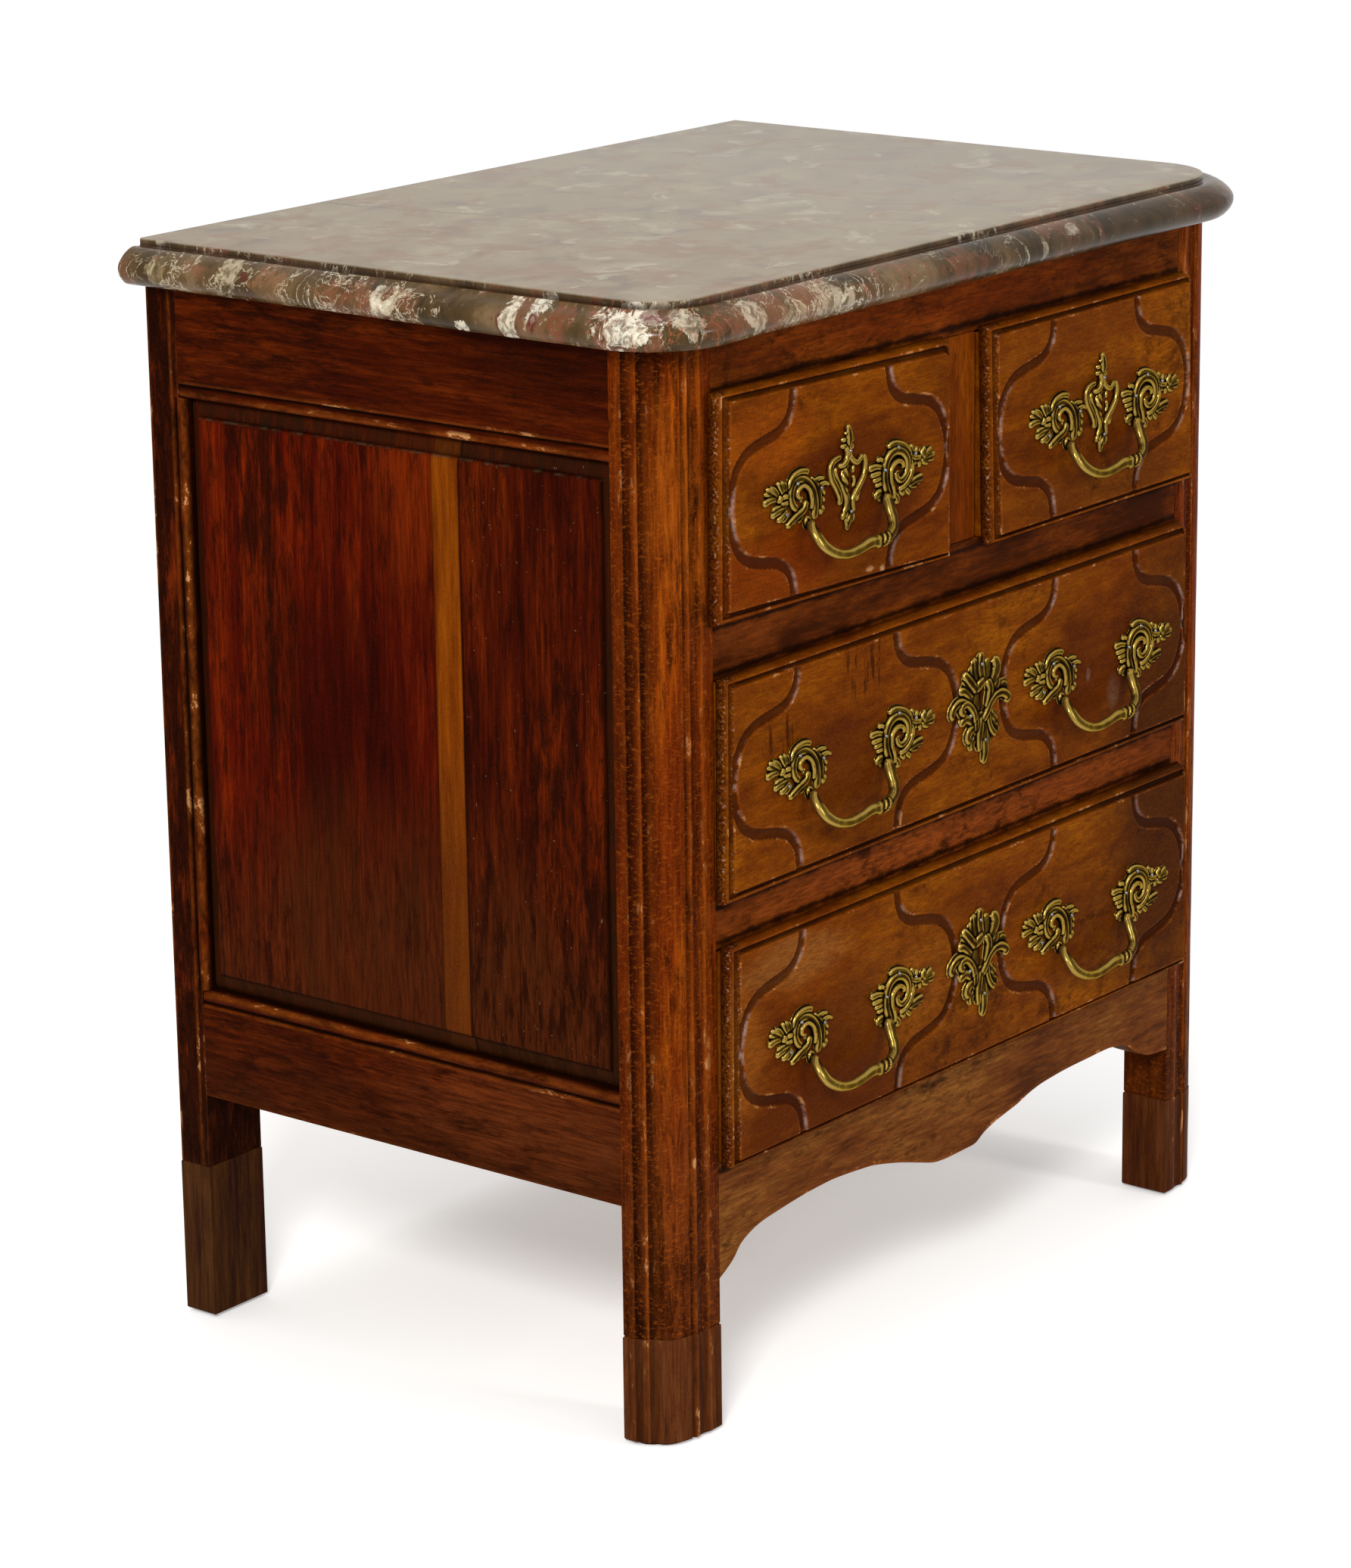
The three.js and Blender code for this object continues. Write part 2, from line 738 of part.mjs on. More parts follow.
function lockPlace(sizes) {
  const top = sizes.body.top - gap;
  const back = sizes.body.front;
  return {
    left: sizes.lockX - lockWidth / 2,
    right: sizes.lockX + lockWidth / 2,
    bottom: sizes.middleZ - keyholeLength / 2 - lockMargin,
    top,
    front: back - lockThickness,
    back,
  };
}

function boltPlace(sizes) {
  const lock = lockPlace(sizes);
  const middle = (lock.front + lock.back) / 2;
  return {
    left: sizes.lockX - boltWidth / 2,
    right: sizes.lockX + boltWidth / 2,
    front: middle - boltThickness / 2,
    back: middle + boltThickness / 2,
    bottom: lock.top - boltLength,
    top: lock.top,
  };
}

function boxOf(place, grow) {
  return block(
    place.left - grow, place.right + grow,
    place.front - grow, place.back + grow,
    place.bottom - grow, place.top + grow,
  );
}

function bottomBoard(sizes, grow) {
  const body = sizes.body;
  const inner = drawerSideThickness - drawerGrooveDepth + gap;
  const low = body.bottom + drawerBottomRaise;
  return block(
    body.left + inner - grow, body.right - inner + grow,
    body.front - drawerGrooveDepth + gap - grow, body.rear,
    low - grow, low + drawerBottomThickness + grow,
  );
}

function drawerFront(drawer, sizes) {
  const body = sizes.body;
  const inside = block(body.left, body.right, front - gap * 2, body.front, body.bottom, body.top);
  const board = joined([lipSolid(drawer, sizes), inside]);
  const fieldWidth = sizes.field.right - sizes.field.left;
  const halfUp = (sizes.field.top - sizes.field.bottom) / 2;
  const cutters = [];
  for (const oval of drawer.ovals) {
    const middle = sizes.field.left + oval.middleShare * fieldWidth;
    for (const hand of [-1, 1]) {
      cutters.push(gougeCutter(middle, sizes.middleZ, oval.halfShare * fieldWidth, halfUp, hand));
    }
  }
  const surface = carcassDepth + frontProud;
  const keyhole = keyholeCutter(sizes.lockX, sizes.middleZ, -body.front - overrun, surface + overrun);
  const lockSlot = boxOf({ ...lockPlace(sizes), top: body.top + overrun, back: body.front + overrun }, gap);
  const groove = bottomBoard(sizes, gap);
  return cutBy(board, [...cutters, keyhole, lockSlot, groove]);
}

// The two sides and the back of a drawer, dovetailed into one open frame
function drawerCarcass(sizes) {
  const body = sizes.body;
  const y0 = body.front + gap;
  const inner = drawerSideThickness / 2;
  const low = body.bottom + drawerBottomRaise + drawerBottomThickness + gap;
  const carcass = joined([
    block(body.left, body.left + drawerSideThickness, y0, body.rear, body.bottom, body.top),
    block(body.right - drawerSideThickness, body.right, y0, body.rear, body.bottom, body.top),
    block(
      body.left + inner, body.right - inner,
      body.rear - drawerBackThickness, body.rear,
      low, body.top - drawerBackDrop,
    ),
  ]);
  const groove = bottomBoard(sizes, gap);
  return cutBy(carcass, [groove.clone().translate(0, drawerGrooveDepth, 0), groove]);
}

// Locks: an iron case let into the back of the front, with a bolt that rises into the rail above
function lockCase(sizes) {
  const lock = lockPlace(sizes);
  const bolt = boltPlace(sizes);
  const channel = boxOf({ ...bolt, top: bolt.top + boltTravel + overrun }, boltClear);
  const keySpace = keyholeCutter(
    sizes.lockX, sizes.middleZ,
    -lock.back + lockWall, -lock.front + overrun,
  );
  return cutBy(boxOf(lock, 0), [channel, keySpace]);
}

function boltMortise(sizes) {
  const bolt = boltPlace(sizes);
  return boxOf({ ...bolt, top: bolt.top + boltTravel + boltClear }, boltClear);
}

// Brass: leafy plates drawn as a soft oval with lobes round the rim
const leafLobes = 7;
const leafDepthShare = 0.18;
const leafSteps = 30;

function leafOutline(width, height, phase) {
  const points = [];
  for (let i = 0; i < leafSteps; i += 1) {
    const angle = (i / leafSteps) * Math.PI * 2;
    const wave = 1 - leafDepthShare * (1 + Math.cos(leafLobes * angle + phase)) / 2;
    points.push([Math.cos(angle) * wave * width / 2, Math.sin(angle) * wave * height / 2]);
  }
  return points;
}

function plate(points, thickness, bevel, base) {
  const reach = points.reduce((most, [x, y]) => Math.max(most, Math.abs(x), Math.abs(y)), 0);
  const shrink = (reach - bevel) / reach;
  const small = points.map(([x, y]) => [x * shrink, y * shrink]);
  return loft([
    { points, z: base },
    { points, z: base + thickness - bevel },
    { points: small, z: base + thickness },
  ]);
}

// The open C scroll on a rosette, a round bar bent into most of an oval
class Scroll extends THREE.Curve {
  constructor(width, height, start, sweep, lift) {
    super();
    this.width = width;
    this.height = height;
    this.start = start;
    this.sweep = sweep;
    this.lift = lift;
  }

  getPoint(t) {
    const angle = this.start + this.sweep * t;
    const tighten = 1 - scrollTightenShare * t;
    return new THREE.Vector3(
      Math.cos(angle) * this.width / 2 * tighten,
      Math.sin(angle) * this.height / 2 * tighten,
      this.lift,
    );
  }
}

function roundBar(path, thickness, sides, steps) {
  const section = new THREE.Shape();
  for (let i = 0; i < sides; i += 1) {
    const angle = (i / sides) * Math.PI * 2;
    const x = Math.cos(angle) * thickness / 2;
    const y = Math.sin(angle) * thickness / 2;
    if (i === 0) section.moveTo(x, y);
    else section.lineTo(x, y);
  }
  return new THREE.ExtrudeGeometry(section, { steps, extrudePath: path, bevelEnabled: false });
}

const bailShares = [
  [-0.38, -0.12, 0.2], [-0.51, -0.4, 0.6], [-0.46, -0.72, 0.86], [-0.27, -0.95, 1], [-0.02, -1, 1],
  [0.24, -0.95, 1], [0.41, -0.78, 0.9], [0.46, -0.48, 0.65], [0.48, -0.25, 0.35],
];
const scrollStart = Math.PI * 0.3;
const scrollSweep = Math.PI * 1.6;
const scrollTightenShare = 0.45;
const scrollSides = 6;
const scrollSteps = 12;
const bailSides = 8;
const bailSteps = 20;

// One side of a handle: a leafy plate with a scroll on it, to the left or right of the middle
function rosette(side, width, height) {
  const surface = carcassDepth + frontProud + gap;
  const leaf = plate(leafOutline(width, height, side), rosetteThickness, rosetteBevel, surface);
  const lift = surface + rosetteThickness;
  const curl = new Scroll(scrollWidth, scrollHeight, scrollStart, -side * scrollSweep, lift);
  const scroll = roundBar(curl, scrollThickness, scrollSides, scrollSteps);
  return joined([leaf, scroll]).translate(side * handleSpread, 0, 0);
}

function handle(x, z) {
  const surface = carcassDepth + frontProud + gap;
  const bailPath = new THREE.CatmullRomCurve3(bailShares.map(([across, drop, out]) => new THREE.Vector3(
    bailShift + across * bailWidth,
    drop * bailDrop,
    surface + out * bailReach,
  )));
  const solid = joined([
    rosette(-1, leftRosetteWidth, leftRosetteHeight),
    rosette(1, rightRosetteWidth, rightRosetteHeight),
    roundBar(bailPath, bailThickness, bailSides, bailSteps),
  ]);
  return onFront(solid).translate(x, 0, z);
}

const narrowEscutcheonShares = [
  [0, 0.5], [0.14, 0.44], [0.17, 0.36], [0.25, 0.33], [0.23, 0.26], [0.12, 0.21], [0.3, 0.18],
  [0.46, 0.19], [0.5, 0.1], [0.47, -0.02], [0.36, -0.15], [0.34, -0.25], [0.24, -0.26],
  [0.15, -0.34], [0.18, -0.4], [0.08, -0.45], [0, -0.5],
];
const wideEscutcheonShares = [
  [0, 0.5], [0.1, 0.42], [0.22, 0.45], [0.26, 0.33], [0.4, 0.3], [0.38, 0.18], [0.5, 0.1],
  [0.44, 0], [0.5, -0.1], [0.4, -0.18], [0.38, -0.3], [0.25, -0.31], [0.2, -0.42], [0.09, -0.4],
  [0, -0.5],
];

function escutcheon(sizes, small) {
  const width = small ? smallEscutcheonWidth : longEscutcheonWidth;
  const height = small ? smallEscutcheonHeight : longEscutcheonHeight;
  const shares = small ? narrowEscutcheonShares : wideEscutcheonShares;
  const rightHalf = shares.map(([x, z]) => [x * width, z * height]).reverse();
  const leftHalf = shares.slice(1, -1).map(([x, z]) => [-x * width, z * height]);
  const surface = carcassDepth + frontProud + gap;
  const leaf = onFront(plate([...rightHalf, ...leftHalf], escutcheonThickness, escutcheonBevel, surface));
  leaf.translate(sizes.lockX, 0, sizes.middleZ);
  const outside = surface + escutcheonThickness + overrun;
  const keyhole = keyholeCutter(sizes.lockX, sizes.middleZ, surface - overrun, outside);
  return cutBy(leaf, [keyhole]);
}

function drawerSet() {
  for (const drawer of drawers) {
    const sizes = drawerSizes(drawer);
    const name = drawer.name;
    piece(`${name}_drawer_front`, drawerFront(drawer, sizes), woodWarm);
    piece(`${name}_drawer_carcass`, drawerCarcass(sizes), woodPale);
    piece(`${name}_drawer_bottom`, bottomBoard(sizes, 0), woodPale);
    piece(`${name}_escutcheon`, escutcheon(sizes, drawer.small), brass);
    piece(`${name}_lock_case`, lockCase(sizes), iron);
    piece(`${name}_lock_bolt`, boxOf(boltPlace(sizes), 0), iron);
    const fieldWidth = sizes.field.right - sizes.field.left;
    drawer.ovals.forEach((oval, i) => {
      const x = sizes.field.left + oval.middleShare * fieldWidth + drawer.handleShift;
      const suffix = drawer.ovals.length > 1 ? ['_left_handle', '_right_handle'][i] : '_handle';
      piece(`${name}${suffix}`, handle(x, sizes.middleZ - handleDrop), brass);
    });
  }
}

function frontFrame() {
  const sizes = Object.fromEntries(drawers.map((drawer) => [drawer.name, drawerSizes(drawer)]));
  const topMortises = [boltMortise(sizes.small_left), boltMortise(sizes.small_right)];
  frontRail('front_top_rail', railLevels.top, topMortises);
  frontRail('upper_drawer_rail', railLevels.upper, [boltMortise(sizes.upper_long)]);
  frontRail('lower_drawer_rail', railLevels.lower, [boltMortise(sizes.lower_long)]);
  apron();
  const divider = block(
    dividerLeft, dividerRight, front, frontBack - gap,
    smallDrawerBottom + gap, smallDrawerTop - gap,
  );
  piece('drawer_divider', divider, woodWarm);
}

function back() {
  const half = rearOpeningHalf - gap;
  const railBack = rearFront + backRailThickness;
  const topRail = block(-half, half, rearFront, railBack, sideOpening.top, carcassHeight);
  piece('back_top_rail', topRail, woodPlain);
  const boardWidth = (half * 2) / backBoardNames.length;
  const low = lowerDrawerBottom - bottomBackRailHeight;
  backBoardNames.forEach((name, i) => {
    const x0 = -half + i * boardWidth + gap / 2;
    const y0 = railBack + gap;
    const board = block(x0, x0 + boardWidth - gap, y0, y0 + backBoardThickness, low, carcassHeight);
    piece(name, board, woodPlain);
  });
}

// A frame under each row of drawers: a runner and a guide on either side, joined by a back rail
function runnerFrame(name, top, railHeight, centred) {
  const half = rearOpeningHalf - gap;
  const y0 = frontBack + gap;
  const y1 = rearFront - gap;
  const runnerInner = openingHalf - drawerSideThickness - drawerClearSide;
  const guideInner = openingHalf + drawerClearSide / 2;
  const guideOuter = runnerInner + runnerWidth;
  const section = [
    [runnerInner, top - runnerHeight],
    [guideOuter, top - runnerHeight],
    [guideOuter, top + guideHeight],
    [guideInner, top + guideHeight],
    [guideInner, top],
    [runnerInner, top],
  ];
  const runner = leftBar(section, y0, y1);
  const parts = [
    runner,
    mirrored(runner),
    block(-half, half, y1 - railLap, rearFront + backRailThickness, top - railHeight, top),
  ];
  if (centred) {
    const shelf = centreRunnerWidth / 2;
    const guide = dividerWidth / 2 - drawerClearSide / 2;
    parts.push(
      block(dividerShift - shelf, dividerShift + shelf, y0, rearFront, top - runnerHeight, top),
      block(dividerShift - guide, dividerShift + guide, y0, y1, top - runnerHeight, top + guideHeight),
    );
  }
  piece(name, joined(parts), woodPlain);
}

function runnerFrames() {
  runnerFrame('upper_runner_frame', smallDrawerBottom, upperRailHeight, true);
  runnerFrame('middle_runner_frame', upperDrawerBottom, lowerRailHeight, false);
  runnerFrame('lower_runner_frame', lowerDrawerBottom, bottomBackRailHeight, false);
}

piece('marble_top', marbleTop(), marble);
posts();
feet();
sideFrames();
sidePanels();
frontFrame();
back();
runnerFrames();
drawerSet();

export default chest;
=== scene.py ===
import math

import bmesh
import bpy
import numpy as np
from mathutils import Matrix, Vector, noise


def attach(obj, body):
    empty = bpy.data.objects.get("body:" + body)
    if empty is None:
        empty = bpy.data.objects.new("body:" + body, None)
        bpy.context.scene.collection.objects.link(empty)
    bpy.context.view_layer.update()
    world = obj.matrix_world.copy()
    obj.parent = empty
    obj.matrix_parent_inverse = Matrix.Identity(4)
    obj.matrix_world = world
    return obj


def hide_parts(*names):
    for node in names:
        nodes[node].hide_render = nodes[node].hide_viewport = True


# Commode chest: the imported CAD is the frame, and this script gives it its fine shapes and its look.
# Shapes are written in millimetres, with x from the middle, y = 0 at the back of the carcass and its
# front at negative y, and z from the floor. BACK_SHIFT takes that y to the frame's own. Materials and
# their marks are written in metres in the frame's own axes.

MM = 0.001
BACK_SHIFT = 257.65
CARCASS_FRONT = -481.4
# y of the drawers' fields, and half the carcass's width
FIELD = CARCASS_FRONT - 13.0
HALF = 363.2
FLOOR_SIZE = 16.0

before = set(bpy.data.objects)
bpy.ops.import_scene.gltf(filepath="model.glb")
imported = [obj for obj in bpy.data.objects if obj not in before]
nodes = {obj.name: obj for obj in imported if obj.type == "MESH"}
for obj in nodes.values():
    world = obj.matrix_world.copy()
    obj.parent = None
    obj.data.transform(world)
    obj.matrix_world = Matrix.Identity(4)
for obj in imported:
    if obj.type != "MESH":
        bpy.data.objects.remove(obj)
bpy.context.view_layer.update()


def metres(points):
    """Rows of millimetres in the carcass's own axes as rows of metres in the frame's."""
    return (np.asarray(points, float) + (0, BACK_SHIFT, 0)) * MM


def new_object(name, data):
    thing = bpy.data.objects.new(name, data)
    bpy.context.scene.collection.objects.link(thing)
    return thing


# Camera and light. The camera is solved from the photograph's straight edges.

CAMERA_PLACE = (-2.9771, -2.30105, 1.4528)
AZIMUTH, ELEVATION, ROLL = (math.radians(a) for a in (51.708, 15.781, -0.757))
LENS = 113.66
SENSOR_HEIGHT = 36
# name, place, what it is aimed at, width and height, power
LAMPS = (
    ("key", (-3.5, -2.1, 2.7), (0, 0, 0.4), (0.9, 0.9), 150),
    ("front_fill", (0.6, -3.6, 1.9), (0, 0, 0.4), (0.5, 1.2), 34),
    ("overhead", (0.3, 0.4, 3.6), (0, 0, 0.5), (2.0, 2.0), 36),
)


def make_camera():
    forward = Vector((
        math.cos(ELEVATION) * math.sin(AZIMUTH),
        math.cos(ELEVATION) * math.cos(AZIMUTH),
        -math.sin(ELEVATION),
    ))
    level = forward.cross(Vector((0, 0, 1))).normalized()
    upright = level.cross(forward)
    right = math.cos(ROLL) * level + math.sin(ROLL) * upright
    up = -math.sin(ROLL) * level + math.cos(ROLL) * upright
    data = bpy.data.cameras.new("camera")
    data.sensor_fit = "VERTICAL"
    data.sensor_height = SENSOR_HEIGHT
    data.lens = LENS
    data.clip_end = 60
    camera = new_object("camera", data)
    turn = Matrix((right, up, -forward)).transposed().to_4x4()
    camera.matrix_world = Matrix.Translation(CAMERA_PLACE) @ turn
    bpy.context.scene.camera = camera


def make_lamp(name, place, aim, size, power):
    data = bpy.data.lights.new(name, "AREA")
    data.shape = "RECTANGLE"
    data.size, data.size_y = size
    data.energy = power
    lamp = new_object(name, data)
    lamp.location = place
    lamp.rotation_euler = (Vector(aim) - Vector(place)).to_track_quat("-Z", "Y").to_euler()


make_camera()
for lamp in LAMPS:
    make_lamp(*lamp)


# Node materials

def tint(code):
    """A #rrggbb colour as the linear numbers that a socket takes."""
    parts = [int(code[i:i + 2], 16) / 255 for i in (1, 3, 5)]
    return [p / 12.92 if p <= 0.04045 else ((p + 0.055) / 1.055) ** 2.4 for p in parts] + [1]


class Value:
    """One output of a node. Arithmetic on values becomes Math nodes."""

    def __init__(self, graph, socket):
        self.graph = graph
        self.socket = socket

    def __add__(self, other):
        return self.graph.math("ADD", self, other)

    def __sub__(self, other):
        return self.graph.math("SUBTRACT", self, other)

    def __mul__(self, other):
        return self.graph.math("MULTIPLY", self, other)

    def __abs__(self):
        return self.graph.math("ABSOLUTE", self)


class Graph:
    """The node tree of a material or a world, with a short call for each kind of node that it uses.
    shade is the colour so far, and coat lays a tone over it."""

    def __init__(self, owner):
        owner.use_nodes = True
        self.owner = owner
        self.tree = owner.node_tree
        self.tree.nodes.clear()
        self.place = self.add("TexCoord", out="Object")
        self.shade = None

    def add(self, kind, inputs=None, out=0, **settings):
        node = self.tree.nodes.new("ShaderNode" + kind)
        for key, value in settings.items():
            setattr(node, key, value)
        for key, value in (inputs or {}).items():
            socket = node.inputs[key]
            if isinstance(value, Value):
                self.tree.links.new(value.socket, socket)
            else:
                socket.default_value = tint(value) if isinstance(value, str) else value
        return Value(self, node.outputs[out])

    def math(self, kind, a, b=0.0):
        return self.add("Math", {0: a, 1: b}, operation=kind)

    def vector(self, kind, inputs, out=0):
        return self.add("VectorMath", inputs, out, operation=kind)

    def mapping(self, scale, shift=(0, 0, 0)):
        return self.add("Mapping", {"Vector": self.place, "Scale": scale, "Location": shift})

    def noise(self, place, scale, detail=3.0, rough=0.5, warp=0.0, out="Fac"):
        inputs = {"Vector": place, "Scale": scale, "Detail": detail, "Roughness": rough, "Distortion": warp}
        return self.add("TexNoise", inputs, out)

    def ramp(self, value, *stops):
        colour = self.add("ValToRGB", {"Fac": value})
        points = colour.socket.node.color_ramp.elements
        while len(points) < len(stops):
            points.new(0.5)
        for point, (position, tone) in zip(points, stops):
            point.position = position
            point.color = tint(tone)
        return colour

    def remap(self, value, low, high, to_low=0.0, to_high=1.0, smooth=False):
        kind = "SMOOTHSTEP" if smooth else "LINEAR"
        inputs = {"Value": value, "From Min": low, "From Max": high, "To Min": to_low, "To Max": to_high}
        return self.add("MapRange", inputs, interpolation_type=kind, clamp=True)

    def mix(self, share, a, b):
        return self.add("Mix", {0: share, 6: a, 7: b}, 2, data_type="RGBA")

    def coat(self, share, tone):
        self.shade = self.mix(share, self.shade, tone)

    def mark(self, name):
        return self.add("Attribute", out="Fac", attribute_name=name)

    def axes(self):
        node = self.add("SeparateXYZ", {0: self.place}).socket.node
        return [Value(self, socket) for socket in node.outputs]

    def blob(self, spot, sway):
        """1 in the middle of an egg-shaped patch, fading to 0 past its edge, which sway makes wander.
        spot is the x, y and z of the middle, and then how far the patch reaches in each."""
        scale = [1 / reach for reach in spot[3:]]
        shift = [-middle / reach for middle, reach in zip(spot, spot[3:])]
        off = self.vector("LENGTH", {0: self.mapping(scale, shift)}, "Value")
        return self.remap(off + sway, 1.15, 0.4, smooth=True)

    def bump(self, height, strength, distance):
        return self.add("Bump", {"Height": height, "Strength": strength, "Distance": distance})

    def seen(self):
        """1 for the rays that show the background: the camera's own, and those by way of metal or glass."""
        share = 0.0
        for kind in ("Is Camera Ray", "Is Glossy Ray", "Is Transmission Ray"):
            share = self.math("MAXIMUM", self.add("LightPath", out=kind), share)
        return share

    def surface(self, shader, kind="Material"):
        output = self.tree.nodes.new("ShaderNodeOutput" + kind)
        self.tree.links.new(shader.socket, output.inputs[0])
        return self.owner

    def finish(self, **inputs):
        named = {key.replace("_", " "): value for key, value in inputs.items()}
        return self.surface(self.add("BsdfPrincipled", {"Base Color": self.shade, **named}))


def new_material(name):
    return Graph(bpy.data.materials.new(name))


# What each mark on a piece's points is tinted with. The lips' glint and the gouge walls' mark are painted
# highlights, and the panel margins' mark is dust with painted shade
MARK_TONES = {"roll": "#260a03", "glint": "#a58c78", "groove": "#2c0f04", "wall_highlight": "#957c72",
              "dust": "#2e1a0b", "ash": "#5c4a36"}
# the tone of painted shade in recesses, quirks, gaps and the keyhole, and of the dark seams between boards
SHADE_AND_SEAM_TONE = "#0e0401"
BARE_WOOD = "#c08a56"
RED_TIDE = "#6a1202"
BROWN_TIDE = "#44210a"
SPECK_TONE = "#6e5a42"
TICK_TONE = "#240d02"
WOOD_GLEAM = 0.008


def wood(name, grain, tones, blots=0.35, blot_tone="#160602", figure=26.0, gloss=0.36, seed=0.0,
         fleck=0.35, red=0.0, pale="#8f4713", brown_below=None, shade_lines=(), stains_and_shade=(),
         specks=False, loose=1.0, ticks=(), rays=0.0):
    """Stained and waxed wood. tones run from the dark to the light bands of the figure. A larger loose
    draws the figure out less along the grain. Each stain, and each patch of painted shade, is a blob's
    spot, its share and its tone. ticks are spots with fine upright scratches, and specks and rays are pale
    flecks."""
    g = new_material(name)
    axis = "xyz".index(grain)
    x, y, z = g.axes()

    def figured(share, scale, detail, rough=0.5, warp=0.0):
        stretch = [1.0, 1.0, 1.0]
        stretch[axis] = min(1.0, share * loose)
        return g.noise(g.mapping(stretch, (seed, seed * 0.7, seed * 1.3)), scale, detail, rough, warp)

    # the figure, from broad bands to grit
    bands = figured(0.11, figure * 2.2, 8, 0.7, 0.4)
    broad = figured(0.32, figure * 0.35, 3, 0.5, 0.4)
    streak = figured(0.06, figure * 8, 5, 0.68)
    flake = figured(0.16, figure * 12, 6, 0.7, 0.2)
    fibre = figured(0.05, 520, 4, 0.65)
    grit = figured(0.5, 1100, 2, 0.6)
    blot = figured(0.2, figure * 4.5, 7, 0.68, 0.15)
    both = bands * 0.4 + broad * 0.35 + streak * 0.25
    g.shade = g.ramp(both, (0.41, tones[0]), (0.49, tones[1]), (0.58, tones[2]))

    # stains, patches of painted shade and shadow, and blots
    if red:
        g.coat(g.remap(figured(0.5, 6, 3, 0.55), 0.42, 0.62, 0, red), RED_TIDE)
    where = blot * 0.7 + broad * 0.6
    sway = (blot - 0.5) * 1.2
    if brown_below:
        low = g.remap(z + (broad - 0.5) * 0.4, brown_below + 0.12, brown_below - 0.08, smooth=True)
        g.coat(low * 0.7, BROWN_TIDE)
        where = where + low * 0.05
    for *spot, share, tone in stains_and_shade:
        g.coat(g.blob(spot, sway) * share, tone)
    edge = 0.8 - 0.2 * blots
    g.coat(g.remap(where, edge, edge + 0.13, 0, 0.85), blot_tone)
    around = g.remap(where, edge - 0.14, edge + 0.04, 0, 0.3 + 0.7 * blots)
    g.coat(around * g.remap(flake, 0.48, 0.56, 0, 0.85), blot_tone)
    g.coat(g.remap(fibre, 0.36, 0.6, 0.55, 0.0), tones[0])
    g.coat(g.remap(grit, 0.56, 0.7, 0, fleck), blot_tone)
    g.coat(g.remap(grit, 0.44, 0.32, 0, fleck * 0.4), tones[2])

    # the marks that the pieces carry
    pebble = g.noise(g.place, 480, 3, 0.6)
    shares = {
        "roll": g.remap(pebble, 0.4, 0.56, 0.9, 0.25),
        "glint": g.remap(pebble, 0.58, 0.68, 0, 0.8),
        "groove": 0.75,
        # a painted highlight on the gouge walls that face the light
        "wall_highlight": g.remap(streak, 0.44, 0.6, 0, 0.8),
        # dust with painted shade over the panels' sunken margins
        "dust": g.remap(blot, 0.3, 0.7, 0.45, 0.9),
        "ash": g.remap(blot, 0.46, 0.6, 0, 0.6),
    }
    for key, share in shares.items():
        g.coat(g.mark(key) * share, MARK_TONES[key])
    # painted shade in recesses, quirks, gaps and the keyhole, the dark seams between boards, and lines of
    # painted shade and shadow along the lips and under the marble
    shade_and_seams = g.mark("cavity") * 0.92
    for height, slope in shade_lines:
        off = abs(z - (x * slope + height)) + g.remap(blot, 0.3, 0.7, 0.0016, -0.0016)
        shade_and_seams = g.math("MAXIMUM", shade_and_seams, g.remap(off, 0.0034, 0.0008, 0, 0.85))
    g.coat(shade_and_seams, SHADE_AND_SEAM_TONE)
    chip = figured(0.35, 62, 9, 0.74)
    g.coat(g.mark("ridge") * g.remap(chip, 0.4, 0.6, 0.06, 0.62), pale)
    g.coat(g.mark("ridge") * g.remap(chip, 0.585, 0.61), BARE_WOOD)

    # fine flecks and scratches
    if specks:
        g.coat(g.remap(g.noise(g.place, 300, 2), 0.73, 0.77, 0, 0.6), SPECK_TONE)
    if rays:
        ray = g.noise(g.mapping((1, 1, 2.0), (seed, 0, 2)), 230, 3, 0.6, 0.8)
        g.coat(g.remap(ray, 0.54, 0.66, 0, rays), pale)
    for spot in ticks:
        upright = g.noise(g.mapping((1, 1, 0.14)), 210, 3, 0.6)
        g.coat(g.blob(spot, sway) * g.remap(upright, 0.55, 0.61, 0, 0.8), TICK_TONE)
    relief = fibre * 0.6 + grit * 0.3 + g.mark("roll") * (pebble * 5.0)
    return g.finish(Roughness=g.remap(blot, 0.3, 0.7, gloss - 0.06, gloss + 0.14),
                    Normal=g.bump(relief, 0.4, 0.0004), Specular_IOR_Level=WOOD_GLEAM)


def side_marks(x, depth, *rows):
    """Marks on a face that looks sideways, from rows of y, z, reach in y and z, share and tone."""
    return tuple((x, y, z, depth, *rest) for y, z, *rest in rows)


def front_marks(y, depth, *rows):
    """Marks on a face that looks forward, from rows of x, z, reach in x and z, share and tone."""
    return tuple((x, y, z, wide, depth, *rest) for x, z, wide, *rest in rows)


